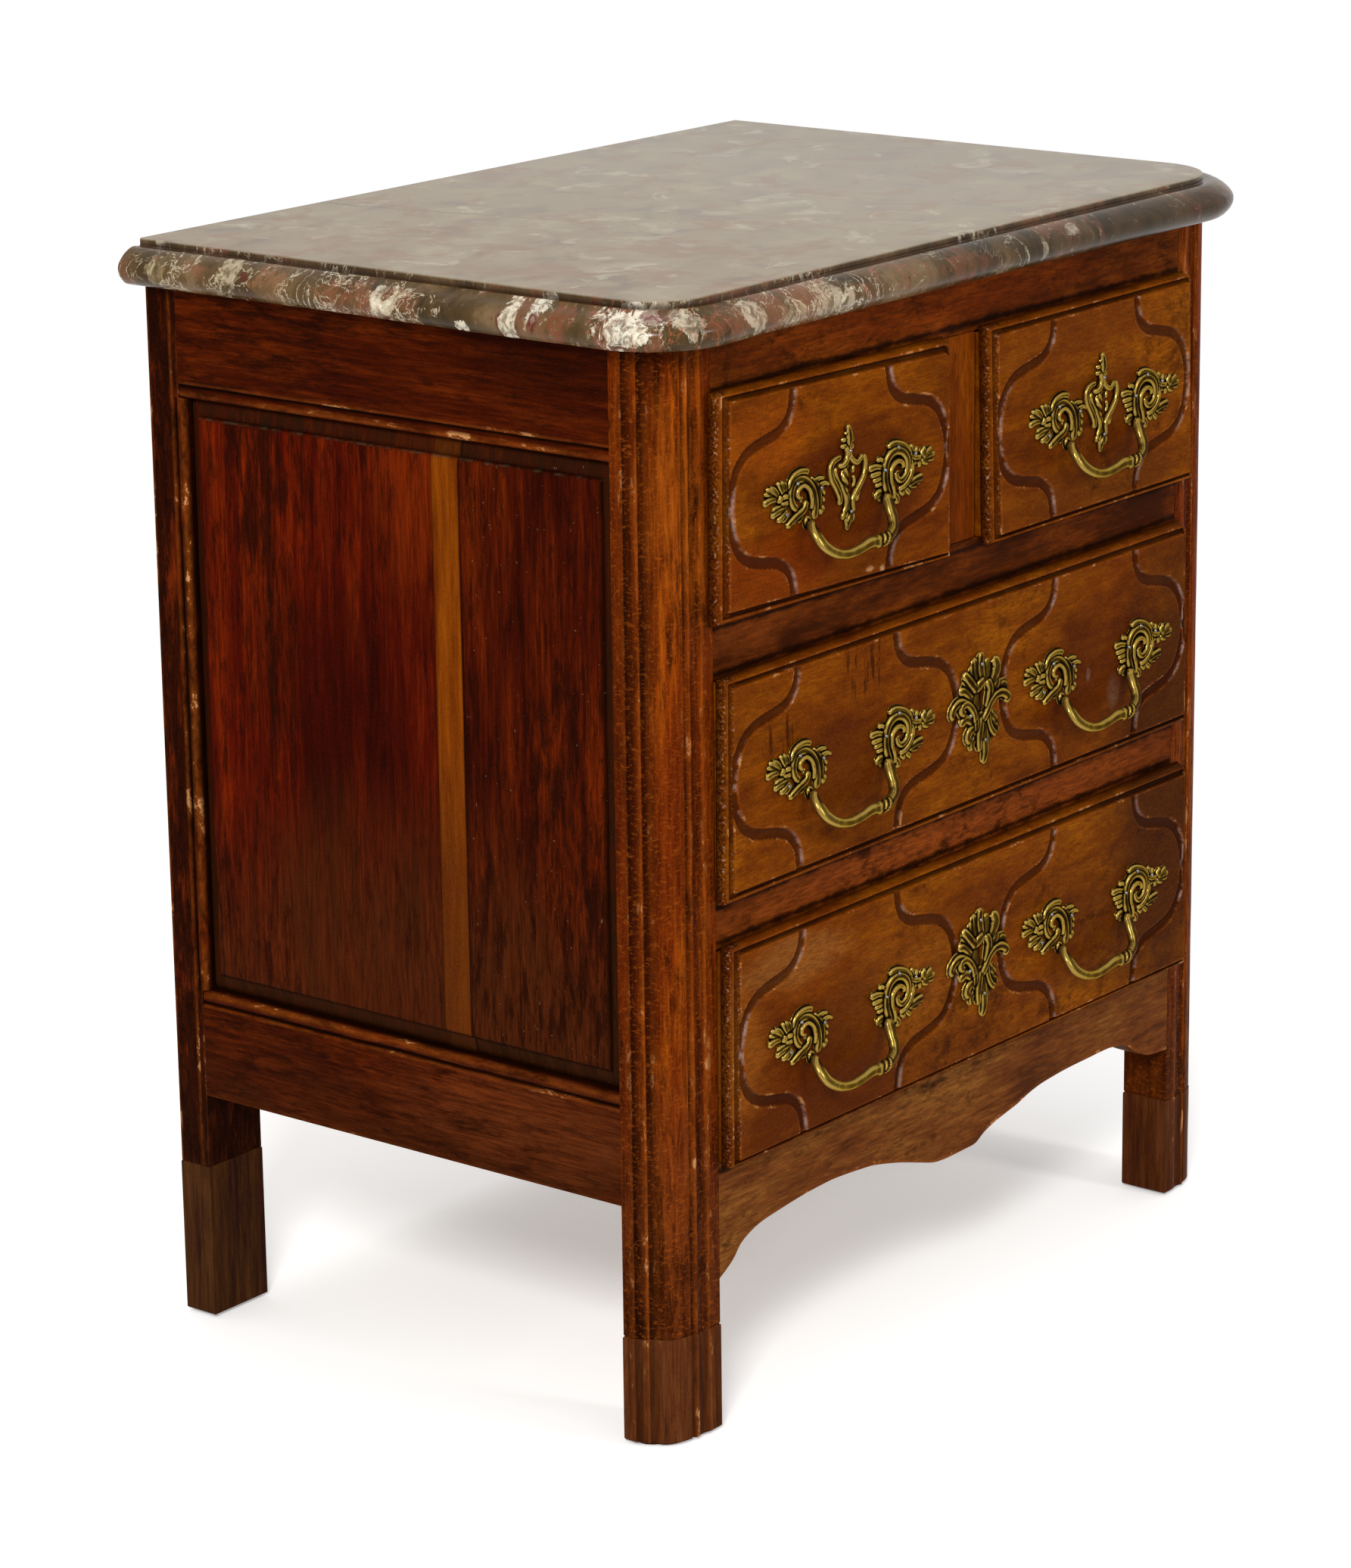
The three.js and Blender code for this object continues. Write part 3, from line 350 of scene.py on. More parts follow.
# The marble edge's large marks, from the left rear corner to the right
EDGE_MARKS = side_marks(
    -0.386, 0.03,
    (0.225, 0.834, 0.012, 0.014, 0.6, "#8f7b58"),
    (0.154, 0.842, 0.013, 0.02, 0.7, "#b9aa8a"),
    (0.112, 0.835, 0.02, 0.018, 0.5, "#8a6040"),
    (0.042, 0.83, 0.035, 0.016, 0.6, "#7c4c30"),
    (0.01, 0.831, 0.006, 0.02, 0.6, "#cfc4ae"),
    (-0.07, 0.822, 0.007, 0.006, 0.9, "#d8cfba"),
    (-0.113, 0.832, 0.009, 0.022, 0.8, "#d6ccb5"),
    (-0.133, 0.842, 0.016, 0.02, 0.8, "#d8d0bc"),
    (-0.135, 0.832, 0.007, 0.012, 0.95, "#571a10"),
    (-0.156, 0.834, 0.012, 0.022, 0.6, "#74391f"),
) + (
    (-0.37, -0.21, 0.834, 0.05, 0.026, 0.019, 0.85, "#d6cdb8"),
    (-0.375, -0.225, 0.842, 0.03, 0.011, 0.007, 0.95, "#5a1a10"),
    (-0.352, -0.25, 0.838, 0.012, 0.03, 0.014, 0.6, "#c2b69c"),
) + front_marks(
    -0.256, 0.03,
    (-0.32, 0.834, 0.035, 0.014, 0.45, "#7c452d"),
    (-0.29, 0.834, 0.012, 0.014, 0.55, "#c2b69c"),
    (-0.25, 0.828, 0.02, 0.012, 0.5, "#b09a7c"),
    (-0.202, 0.832, 0.03, 0.016, 0.45, "#c2b69c"),
    (-0.034, 0.832, 0.04, 0.012, 0.4, "#7c452d"),
    (0.106, 0.839, 0.01, 0.006, 0.75, "#bdb29b"),
    (0.064, 0.832, 0.004, 0.014, 0.7, "#a89a7f"),
)
# scale, half width, seed and tone of each set of hair veins
HAIR_VEINS = (
    (30, 0.008, 0.0, "#c2b59c"), (15, 0.007, 7.7, "#8a4d33"), (22, 0.006, 4.1, "#b3a589"),
)
# The crack across the slab: x = CRACK_X + CRACK_SLOPE * (y - CRACK_Y)
CRACK_X, CRACK_Y, CRACK_SLOPE = -0.166, 0.25765, -0.187


def marble():
    """Olive-brown marble with cream veins, rust clouds and a worn top, painted paler for its sheen."""
    g = new_material("marble")
    x, y, z = g.axes()

    def drawn(height, seed, scale, detail, rough=0.5, warp=0.0):
        """Noise whose features are drawn out upright."""
        return g.noise(g.mapping((1, 1, height), seed), scale, detail, rough, warp)

    place = g.mapping((1, 1, 0.5), (0.3, 0.1, 0.2))
    sway = g.noise(place, 16.0, 4.0, out="Color")
    bend = g.vector("SCALE", {0: sway, "Scale": 0.06})
    bent = g.vector("ADD", {0: place, 1: bend})
    cloud = g.noise(bent, 20, 6, 0.62, 0.4)
    fine = g.noise(g.place, 220, 4, 0.65)
    rust = drawn(0.5, (3.7, 1.1, 0), 17, 7, 0.66, 0.8)
    vein = drawn(0.5, (0.7, 2.2, 0), 21, 9, 0.62, 0.9)

    # the edge
    g.shade = g.ramp(cloud, (0.36, "#302209"), (0.46, "#453216"), (0.56, "#574124"), (0.66, "#6e573a"))
    g.coat(g.remap(rust, 0.54, 0.6, 0, 0.5), "#7a4a33")
    fleck = drawn(0.6, (2.2, 0, 0), 150, 4, 0.7)
    g.coat(g.remap(rust, 0.44, 0.58) * g.remap(fleck, 0.6, 0.66, 0, 0.6), "#ab9a7e")
    blood = drawn(0.7, (9.7, 1.1, 0), 38, 5, 0.6, 0.6)
    g.coat(g.remap(vein, 0.575, 0.6) * g.remap(blood, 0.54, 0.57, 0, 0.85), "#561a0e")
    g.coat(g.remap(vein, 0.632, 0.65, 0, 0.8), "#b7a98d")
    g.coat(g.remap(vein, 0.665, 0.69), "#dcd3bd")
    for scale, width, seed, tone in HAIR_VEINS:
        off = abs(drawn(0.4, (seed, seed, 0), scale, 6, 0.62, 0.9) - 0.5)
        some = g.remap(drawn(1, (seed, 4, 1), 9, 2), 0.52, 0.56)
        g.coat(some * g.remap(off, width, width * 0.4, 0, 0.85), tone)
    ragged = (drawn(0.7, (0, 0, 0), 60, 9, 0.72, 1.2) - 0.5) * 3.6
    broken = g.remap(drawn(0.6, (5, 0, 0), 150, 7, 0.72, 0.6), 0.44, 0.54, 0.25, 1)
    for *spot, solid, tone in EDGE_MARKS:
        g.coat(g.remap(g.blob(spot, ragged), 0.45, 0.65, 0, solid) * broken, tone)
    g.coat(g.remap(fine, 0.56, 0.68, 0, 0.35), "#2a1c0c")
    # the front face painted darker, as shade, and more so towards the right
    g.coat(g.remap(y, -0.238, -0.25) * g.remap(x, -0.2, 0.25, 0.0, 0.5), "#24170b")
    edge = g.shade

    # the worn top, painted paler as its sheen
    g.shade = g.ramp(cloud, (0.34, "#75685a"), (0.46, "#857865"), (0.56, "#8b7f6c"), (0.66, "#938873"))
    chunk = g.add("TexVoronoi", {"Vector": bent, "Scale": 34}, "Color")
    picked = g.remap(g.add("SeparateXYZ", {0: chunk}), 0.86, 0.9) * g.remap(vein, 0.5, 0.54)
    g.coat(picked * 0.35, "#a39b88")
    g.coat(g.remap(vein, 0.6, 0.64, 0, 0.5), "#aba28c")
    g.coat(g.remap(rust, 0.52, 0.6, 0, 0.5), "#806453")
    g.coat(g.remap(fine, 0.58, 0.7, 0, 0.22), "#6e5f4d")
    worn = g.remap(z, 0.8484, 0.8496)
    # the top face takes the paler colours, a painted sheen
    g.shade = g.mix(worn, edge, g.shade)

    # the crack, and darkening in the crease at the step's foot
    wander = (g.noise(g.place, 30) - 0.5) * 0.02
    off = abs(x - ((y - CRACK_Y) * CRACK_SLOPE + CRACK_X + wander))
    g.coat(g.remap(y, 0.02, 0.1) * g.remap(off, 0.0011, 0.0004) * 0.7, "#4a3628")
    g.coat(g.mark("cavity") * 0.7, "#2a160a")
    return g.finish(Roughness=g.remap(cloud, 0.3, 0.7, 0.2, 0.3) + worn * 0.12,
                    Normal=g.bump(g.noise(g.place, 60), 0.05, 0.0005), Specular_IOR_Level=0.14)


def brass():
    """Old cast brass: olive gold on its ridges, brown-green and dull in its hollows and near the wood, as
    patina and painted shade.
    """
    g = new_material("brass")
    hollow = g.mark("cavity")
    cloud = g.noise(g.place, 70, 4, 0.6)
    grain = g.noise(g.place, 700, 2)
    depth = hollow + (cloud - 0.5) * 0.4
    g.shade = g.ramp(depth, (0.07, "#9a7e3c"), (0.22, "#554318"), (0.4, "#281d07"), (0.6, "#080501"))
    return g.finish(Metallic=0.85, Roughness=g.remap(hollow, 0.15, 0.7, 0.24, 0.5),
                    Normal=g.bump(cloud + grain * 0.2, 0.1, 0.0004),
                    Specular_Tint="#8d7440", Specular_IOR_Level=0.1)


def iron():
    g = new_material("iron")
    cloud = g.noise(g.place, 120, 5, 0.6)
    g.shade = g.ramp(cloud, (0.35, "#2c2926"), (0.55, "#4a4540"), (0.7, "#5a3a26"))
    return g.finish(Metallic=0.8, Roughness=g.remap(cloud, 0.3, 0.7, 0.4, 0.6),
                    Normal=g.bump(cloud, 0.3, 0.0006))


def steel():
    g = new_material("nail_steel")
    cloud = g.noise(g.place, 700, 3, 0.6)
    g.shade = g.ramp(cloud, (0.35, "#4c4a47"), (0.65, "#8e8c88"))
    return g.finish(Metallic=1.0, Roughness=0.35, Normal=g.bump(cloud, 0.2, 0.0003))


def floor_look():
    """Pale floor: the camera sees it lifted to white, and only the object's shadow stays."""
    g = new_material("floor")
    cloth = g.add("BsdfDiffuse", {"Color": g.mix(g.noise(g.place, 3, 2), "#f2f1ef", "#f6f5f3")})
    glow = g.add("Emission", {"Color": "#ffffff", "Strength": 0.32})
    white = g.add("Emission", {"Color": "#ffffff", "Strength": 1.0})
    far = g.remap(g.vector("LENGTH", {0: g.place}, "Value"), 0.8, 1.5, smooth=True)
    lifted = g.add("AddShader", {0: cloth, 1: glow})
    ground = g.add("MixShader", {0: far, 1: lifted, 2: white})
    return g.surface(g.add("MixShader", {0: g.seen(), 1: cloth, 2: ground}))


def make_world():
    """Soft grey light all round, which the camera, metal and glass see as white."""
    world = bpy.data.worlds.new("studio")
    g = Graph(world)
    soft, white = (g.add("Background", {"Color": "#ffffff", "Strength": power}) for power in (0.5, 1.0))
    g.surface(g.add("MixShader", {0: g.seen(), 1: soft, 2: white}), "World")
    bpy.context.scene.world = world


make_world()
# Painted shade in lines along the drawers' lips: its height, and how much it rises per metre to the right
RAIL_SHADE_LINES = ((0.7785, -0.003), (0.6072, -0.003), (0.5765, 0.006), (0.4045, 0.006), (0.3765, 0.002))
APRON_SHADE_LINES = ((0.202, -0.003),)
# Stains and marks, with some patches of painted shade and shadow
POST_MARKS = side_marks(
    -0.363, 0.05,
    (-0.2145, 0.793, 0.0022, 0.03, 0.9, "#120401"),
    (-0.2325, 0.797, 0.0018, 0.022, 0.85, "#1c0702"),
    (-0.18, 0.761, 0.005, 0.005, 0.9, "#1a0803"),
    (-0.229, 0.709, 0.009, 0.012, 0.5, "#2a0c03"),
    (-0.2554, 0.762, 0.002, 0.004, 0.95, "#cdb79a"),
) + (
    (-0.35, -0.25, 0.7, 0.05, 0.05, 0.12, 0.45, "#a05410"),
    (-0.363, -0.24, 0.42, 0.05, 0.05, 0.14, 0.3, "#4f1c06"),
    # a painted shadow under the marble's overhang, at the post's top
    (-0.35, -0.24, 0.822, 0.08, 0.06, 0.03, 0.7, "#1c0802"),
    (-0.35, -0.24, 0.16, 0.08, 0.08, 0.15, 0.35, "#6a3216"),
    (-0.367, -0.19, 0.5, 0.012, 0.03, 0.34, 0.5, "#400f03"),
)
RAIL_MARKS = front_marks(
    -0.227, 0.05,
    (-0.143, 0.776, 0.026, 0.0035, 0.95, "#060200"),
    (-0.05, 0.8, 0.28, 0.022, 0.3, "#8a3408"),
    (0.02, 0.392, 0.36, 0.03, 0.55, "#8c4216"),
    (-0.26, 0.6, 0.05, 0.02, 0.4, "#7a3a10"),
)
FIELD_MARKS = front_marks(
    -0.237, 0.05,
    (-0.131, 0.621, 0.006, 0.0028, 0.8, "#b98a5e"),
    (-0.115, 0.618, 0.004, 0.004, 0.8, "#c09468"),
    (0.159, 0.481, 0.004, 0.007, 0.55, "#a8907c"),
    (0.195, 0.459, 0.012, 0.016, 0.4, "#9c8064"),
    (-0.1, 0.285, 0.12, 0.05, 0.3, "#8c5216"),
    (-0.29, 0.29, 0.04, 0.06, 0.45, "#945418"),
    (0.165, 0.75, 0.16, 0.03, 0.3, "#64300c"),
    (0.17, 0.63, 0.15, 0.03, 0.5, "#482006"),
    (-0.24, 0.645, 0.1, 0.035, 0.5, "#6e2602"),
    (-0.258, 0.738, 0.07, 0.032, 0.36, "#a04c08"),
    (-0.225, 0.345, 0.075, 0.022, 0.36, "#a0682e"),
    (-0.08, 0.22, 0.2, 0.03, 0.45, "#4c2008"),
    # the long drawers' right ends painted darker, as shade
    (0.275, 0.37, 0.1, 0.23, 0.85, "#261004"),
)
HANDLE_PLACES = ((-0.156, 0.684), (0.172, 0.684), (-0.155, 0.478), (0.168, 0.478), (-0.155, 0.276),
                 (0.168, 0.276))
HANDLE_STAINS = front_marks(-0.237, 0.1, *((x, z, 0.085, 0.05, 0.6, "#380d02") for x, z in HANDLE_PLACES))
SIDE_RAIL_STAINS_AND_SHADE = side_marks(
    -0.387, 0.05,
    # a painted shadow under the marble, over the top rail's front half
    (-0.13, 0.8, 0.13, 0.05, 0.6, "#1c0501"),
    (0.15, 0.24, 0.1, 0.05, 0.25, "#2a1006"),
    (-0.09, 0.235, 0.16, 0.055, 0.5, "#6c3314"),
)
PANEL_STAINS = side_marks(
    -0.383, 0.06,
    (0.09, 0.53, 0.1, 0.1, 0.6, "#240401"),
    (0.0, 0.7, 0.06, 0.12, 0.5, "#7a2a04"),
)
DRAWER_TICKS = front_marks(-0.237, 0.05, (-0.133, 0.548, 0.04, 0.028), (-0.24, 0.52, 0.03, 0.02))
RAW = {"gloss": 0.6, "blot_tone": "#4a2f1a"}
RAW_BACK = {"gloss": 0.6, "blot_tone": "#3e2816"}
RAW_TONES = ("#7a5230", "#997046", "#b0875a")
# look: grain, tones, share of blots, and what else differs
WOODS = {
    "post": ("z", ("#3c1202", "#702b04", "#9c4b08"), 0.6, dict(
        gloss=0.34, seed=1.0, red=0.2, pale="#964a12", brown_below=0.18, stains_and_shade=POST_MARKS, rays=0.3)),
    "rear_post": ("z", ("#140401", "#300d02", "#702606"), 0.9, dict(
        figure=18, seed=2.0, brown_below=0.22, loose=1.6)),
    "foot": ("z", ("#33170c", "#51280f", "#683a1d"), 0.3, dict(seed=3.0)),
    "rear_foot": ("z", ("#29120d", "#462910", "#59351c"), 0.3, dict(seed=4.0)),
    # the side rails' shade line is a painted shadow under the marble's overhang
    "side_rail": ("y", ("#200501", "#3f1002", "#5a1f03"), 0.5, dict(
        seed=5.0, brown_below=0.2, shade_lines=((0.822, 0.0),), stains_and_shade=SIDE_RAIL_STAINS_AND_SHADE)),
    "panel": ("z", ("#230401", "#4c0d02", "#6f2002"), 0.6, dict(
        figure=20, gloss=0.3, seed=6.0, red=0.2, brown_below=0.36, stains_and_shade=PANEL_STAINS)),
    "front_panel": ("z", ("#210401", "#451002", "#652002"), 0.75, dict(
        figure=22, gloss=0.3, seed=6.5, brown_below=0.38, specks=True)),
    "strip": ("z", ("#582202", "#773804", "#894608"), 0.0, dict(gloss=0.32, seed=7.0, brown_below=0.36)),
    "front_rail": ("x", ("#301102", "#542305", "#723608"), 0.4, dict(
        figure=20, seed=8.0, loose=2.5, stains_and_shade=RAIL_MARKS, shade_lines=RAIL_SHADE_LINES)),
    "apron": ("x", ("#42200c", "#683715", "#804f1f"), 0.35, dict(
        seed=9.0, loose=2.0, shade_lines=APRON_SHADE_LINES)),
    "divider": ("z", ("#441a02", "#632803", "#7a3c06"), 0.15, dict(seed=10.0, fleck=0.5, loose=2.0)),
    "drawer": ("x", ("#4c1f02", "#6c3402", "#884a04"), 0.3, dict(
        figure=11, gloss=0.32, seed=11.0, red=0.1, stains_and_shade=FIELD_MARKS + HANDLE_STAINS, loose=3.5,
        fleck=0.5, ticks=DRAWER_TICKS)),
    "inner": ("y", ("#7a5230", "#9c7347", "#b58d5f"), 0.15, dict(RAW, seed=12.0)),
    "inner_wide": ("x", RAW_TONES, 0.2, dict(RAW, seed=13.0)),
    "left_back": ("z", ("#6e4a2a", "#8e683f", "#a67f54"), 0.3, dict(RAW_BACK, seed=14.0)),
    "middle_back": ("z", RAW_TONES, 0.25, dict(RAW_BACK, seed=16.0)),
    "right_back": ("z", ("#714c2c", "#936b41", "#aa8256"), 0.35, dict(RAW_BACK, seed=18.0)),
}
LOOKS = {"marble": marble(), "brass": brass(), "iron": iron(), "steel": steel()}
for look, (grain, tones, blots, rest) in WOODS.items():
    LOOKS[look] = wood(f"{look}_wood", grain, tones, blots, **rest)


# Building pieces

def solid_mesh(name, points, faces):
    """A mesh from points in metres, with its faces turned outward."""
    mesh = bpy.data.meshes.new(name)
    mesh.from_pydata(points, [], faces)
    shaped = bmesh.new()
    shaped.from_mesh(mesh)
    bmesh.ops.recalc_face_normals(shaped, faces=shaped.faces)
    shaped.to_mesh(mesh)
    shaped.free()
    return mesh


def write_mark(mesh, key, values):
    layer = mesh.attributes.new(key, "FLOAT", "POINT")
    layer.data.foreach_set("value", np.asarray(values, np.float32))


def finish_mesh(mesh, look, crease=None):
    mesh.shade_smooth()
    if crease:
        mesh.set_sharp_from_angle(angle=math.radians(crease))
    mesh.materials.clear()
    mesh.materials.append(LOOKS[look])
    return mesh


def place_piece(name, mesh, body, replaced=(), at=(0, 0, 0)):
    piece = new_object(name, mesh)
    piece.location = at
    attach(piece, body)
    if replaced:
        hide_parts(*replaced)


def make_piece(name, points, faces, look, node, marks, crease, body="carcass", slot="carcass_wood"):
    """A piece riding on a body in place of the CAD node that it stands for. Each point is its x, y and z
    in millimetres, and then its marks."""
    points = np.asarray(points, float)
    mesh = solid_mesh(name, metres(points[:, :3]).tolist(), faces)
    for key, values in zip(marks, points[:, 3:].T):
        write_mark(mesh, key, values)
    place_piece(name, finish_mesh(mesh, look, crease), body, [node])


def curve_through(points, step):
    """A smooth line through the points, with a new point about every step."""
    points = np.asarray(points, float)
    ends = np.vstack([2 * points[0] - points[1], points, 2 * points[-1] - points[-2]])
    line = []
    for i in range(len(points) - 1):
        a, b, c, d = ends[i:i + 4]
        count = max(1, int(np.linalg.norm(c - b) / step))
        t = (np.arange(count) / count)[:, None]
        line.append(0.5 * (2 * b + (c - a) * t + (2 * a - 5 * b + 4 * c - d) * t ** 2
                           + (3 * b - a - 3 * c + d) * t ** 3))
    return np.vstack(line + [points[-1:]])


def ring_faces(count, size, across):
    """Four-sided faces from each ring of points to the next, for the first few steps round the ring."""
    return [(i * size + j, i * size + (j + 1) % size, (i + 1) * size + (j + 1) % size, (i + 1) * size + j)
            for i in range(count - 1) for j in range(across)]


def loft(rings):
    """Points and faces of a skin over equal rings, capped at both ends."""
    count, size = len(rings), len(rings[0])
    last = (count - 1) * size
    caps = [tuple(range(size)), tuple(last + j for j in reversed(range(size)))]
    return np.vstack(rings), ring_faces(count, size, size) + caps


def backed_grid(grid, axis, level, dark):
    """A grid of points closed by walls and a flat back at a level of one axis. dark is the back's first
    mark, and its other marks are 0."""
    wide, tall, width = grid.shape
    points = grid.reshape(-1, width)
    index = np.arange(wide * tall).reshape(wide, tall)
    quads = np.stack([index[:-1, :-1], index[1:, :-1], index[1:, 1:], index[:-1, 1:]], 2).reshape(-1, 4)
    rim = np.concatenate([index[:, 0], index[-1, 1:], index[-2::-1, -1], index[0, -2:0:-1]])
    back = points[rim].copy()
    back[:, 3:] = 0.0
    back[:, 3] = dark
    back[:, axis] = level
    ring = np.arange(len(rim))
    after = (ring + 1) % len(rim)
    start = len(points)
    walls = np.stack([rim, start + ring, start + after, rim[after]], 1)
    return np.vstack([points, back]), quads.tolist() + walls.tolist() + [(start + ring).tolist()]


def add_part(points, faces, more_points, more_faces):
    """Appends one closed part to another's points and faces."""
    start = len(points)
    points.extend(tuple(p) for p in more_points)
    faces.extend(tuple(start + i for i in f) for f in more_faces)


def rough_at(x, y, z, scale=1.0):
    return noise.noise(Vector((x, y, z)) * scale)


# The marble: a step, then a round nosing, run along the front and both sides

TOP = 850.0
STEP_HALF = 363.3
STEP_FRONT = -492.0
MARBLE_BACK = 3.6
# side and radius of the step's front corners
STEP_CORNERS = ((-1, 43.0), (1, 62.0))
# how far the stone has settled at its front left corner, where that sets in towards the front and the
# left, and between which depths under its top
SAG = 2.2
SAG_FORWARD, SAG_LEFT = (100, 330), (230, 350)
SAG_BAND = (5.4, 31)
# how the edge sways out and in, and where noise of a scale passes a value, how deep it dents the stone
EDGE_SWAY, EDGE_SHIFT = 0.35, -0.17
DENT_SCALE, DENT_FROM, DENT_DEPTH = 0.11, 0.42, 2.2
# (out from the step, down from the top)
EDGE_PROFILE = (
    (-1.3, 0), (-0.4, 0.3), (0, 1.1), (0, 4.9), (0.5, 5.6), (2.5, 5.6), (5, 5.2), (8, 5.2), (11, 6.0),
    (14, 7.4), (17, 9.2), (19.5, 11.3), (22, 13.8), (23.6, 16.1), (24.4, 18.6), (24.4, 20.9), (23.8, 23.3),
    (22.6, 25.7), (21, 27.8), (18.8, 30.1), (16.6, 31.7), (14, 32.6), (4, 32.6), (1.2, 31),
)
# the places in EDGE_PROFILE that are darkened, and the first one that may be dented
STEP_FOOT = range(3, 7)
FIRST_DENT = 5


def marble_edge_path():
    """Places along the step's edge, each with the way out of the stone."""
    stretches = []
    for side, radius in STEP_CORNERS:
        stretch = [(side * STEP_HALF, y, side, 0) for y in np.linspace(MARBLE_BACK, STEP_FRONT + radius, 40)]
        centre = (side * (STEP_HALF - radius), STEP_FRONT + radius)
        for angle in np.linspace(0, math.pi / 2, 19)[1:]:
            out = (side * math.cos(angle), -math.sin(angle))
            stretch.append((centre[0] + radius * out[0], centre[1] + radius * out[1], *out))
        stretches.append(stretch)
    left, right = stretches
    span = np.linspace(left[-1][0], right[-1][0], 56)[1:-1]
    return left + [(x, STEP_FRONT, 0, -1) for x in span] + right[::-1]


def make_marble():
    rings = []
    for x, y, out_x, out_y in marble_edge_path():
        sway = EDGE_SWAY * rough_at(x, y, 0, 0.02) + EDGE_SHIFT
        sag = SAG * np.interp(-y, SAG_FORWARD, (0, 1)) * np.interp(-x, SAG_LEFT, (0, 1))
        ring = []
        for i, (out, down) in enumerate(EDGE_PROFILE):
            sunk = sag * (SAG_BAND[0] < down < SAG_BAND[1])
            point = (x + out_x * (out + sway), y + out_y * (out + sway), TOP - down - sunk)
            dent = max(0.0, rough_at(*point, DENT_SCALE) - DENT_FROM) * DENT_DEPTH
            dent *= i >= FIRST_DENT
            ring.append((point[0] - out_x * dent, point[1] - out_y * dent, point[2], i in STEP_FOOT))
        rings.append(ring)
    count, size = len(rings), len(EDGE_PROFILE)
    last = (count - 1) * size
    top = tuple(i * size for i in range(count))
    under = tuple(i * size + size - 1 for i in reversed(range(count)))
    back = tuple(range(size)) + tuple(last + j for j in reversed(range(size)))
    faces = ring_faces(count, size, size - 1) + [top, under, back]
    make_piece("marble_slab", np.vstack(rings), faces, "marble", "marble_top", ["cavity"],
               crease=30, slot="marble")


# Front posts and feet

POST_WIDTH = 61.6
POST_DEPTH = 41.4
# (in from the side, back from the front, painted shade in the quirks, worn ridge)
POST_SECTION = (
    (0, POST_DEPTH, 0.2, 0), (0, 36, 0.15, 0), (0, 31.4, 0.3, 0.3), (0.9, 30.6, 1, 0), (1.8, 29, 0.8, 0),
    (2.8, 26, 0.55, 0), (3.8, 23.2, 0.4, 0.3), (4.4, 21.8, 0.1, 0.8), (5.2, 21.4, 0.3, 0.6),
    (6.3, 21.6, 0.85, 0), (7.6, 19.6, 0.8, 0), (8.2, 17.4, 0.65, 0.2), (8.8, 15.4, 0.5, 0.2),
    (9.9, 13.2, 0.35, 0), (12, 10.5, 0.2, 0), (15, 7.9, 0.05, 0), (18.8, 5.6, 0, 0), (23, 3.9, 0, 0),
    (27, 2.9, 0.05, 0), (30, 2.5, 0.25, 0.2), (31.3, 3.5, 0.7, 0), (32.7, 3.2, 0.55, 0),
    (33.9, 1.0, 0.2, 0.5), (34.8, 0.4, 0.1, 0.7), (35.8, 0.5, 0.2, 0.6), (37.5, 1.3, 0.5, 0),
    (40, 1.8, 0.55, 0), (43, 1.7, 0.5, 0), (46, 1.0, 0.35, 0), (48, 0.3, 0.2, 0.4), (49, 0, 0.1, 0.7),
    (50.5, 0, 0.3, 0.3), (55, 0, 0.2, 0), (POST_WIDTH, 0, 0.3, 0), (POST_WIDTH, POST_DEPTH, 0, 0),
)
WOOD_MARKS = ("cavity", "ridge")
# how deep wear chips a ridge at most, and how far a face wavers
POST_CHIP, POST_WAVE = 1.5, 0.18
REAR_CHIP = 1.2
RAIL_CHIP, RAIL_WAVE = 0.7, 0.25
# the rounded part of the section, which chips and wavers: its width and depth
ROUND_WIDTH, ROUND_DEPTH = 45, 38
ROUND_SHARE = 0.7
FOOT_TOP = 84.0
CARCASS_TOP = 819.0
PAD_TOP = 3.0
PAD_INSET = 7.0
END_ROUND = 0.8
# how close the level next to an end lies
END_STEP = 1.2


def levels_between(low, high, step):
    """Heights about a step apart, with one close to each end."""
    return [low, *np.arange(low + END_STEP, high - END_STEP, step), high - END_STEP, high]


def moulded_leg(name, side, levels, swell, dark, look, node, pad=False):
    """A front post or foot: the moulded section run along the levels, its ridges chipped by wear."""
    def swollen(value, middle, grow):
        return middle + (value - middle) * (1 + grow / middle)

    def ring_at(z, grow):
        ring = []
        for dx, dy, hollow, edge in POST_SECTION:
            along = (dx + dy) * 0.4
            chip = max(0.0, rough_at(z * 0.16 + side * 40, along, 3.1)) * POST_CHIP * edge
            wave = POST_WAVE * rough_at(z * 0.02, along, side * 7.0)
            inside = dx not in (0, POST_WIDTH) and dy != POST_DEPTH
            inward = (chip + wave) * ROUND_SHARE if inside else 0.0
            x = swollen(dx + (inward if dx < ROUND_WIDTH else 0.0), POST_WIDTH / 2, grow)
            y = swollen(dy + (inward if dy < ROUND_DEPTH else 0.0), POST_DEPTH / 2, grow)
            ring.append((side * (HALF - x), CARCASS_FRONT + y, z, hollow * dark, edge))
        return ring

    ends = (levels[0], levels[-1])
    points, faces = loft([ring_at(z, swell - END_ROUND * (z in ends)) for z in levels])
    points = points.tolist()
    if pad:
        add_part(points, faces, *loft([ring_at(z, -PAD_INSET) for z in (0.0, PAD_TOP + 0.3)]))
    make_piece(name, points, faces, look, node, WOOD_MARKS, crease=28)


# The apron

APRON_TOP = 209.5
APRON_HALF = 301.3
APRON_THICKNESS = 24.0
APRON_WAVE = 0.3
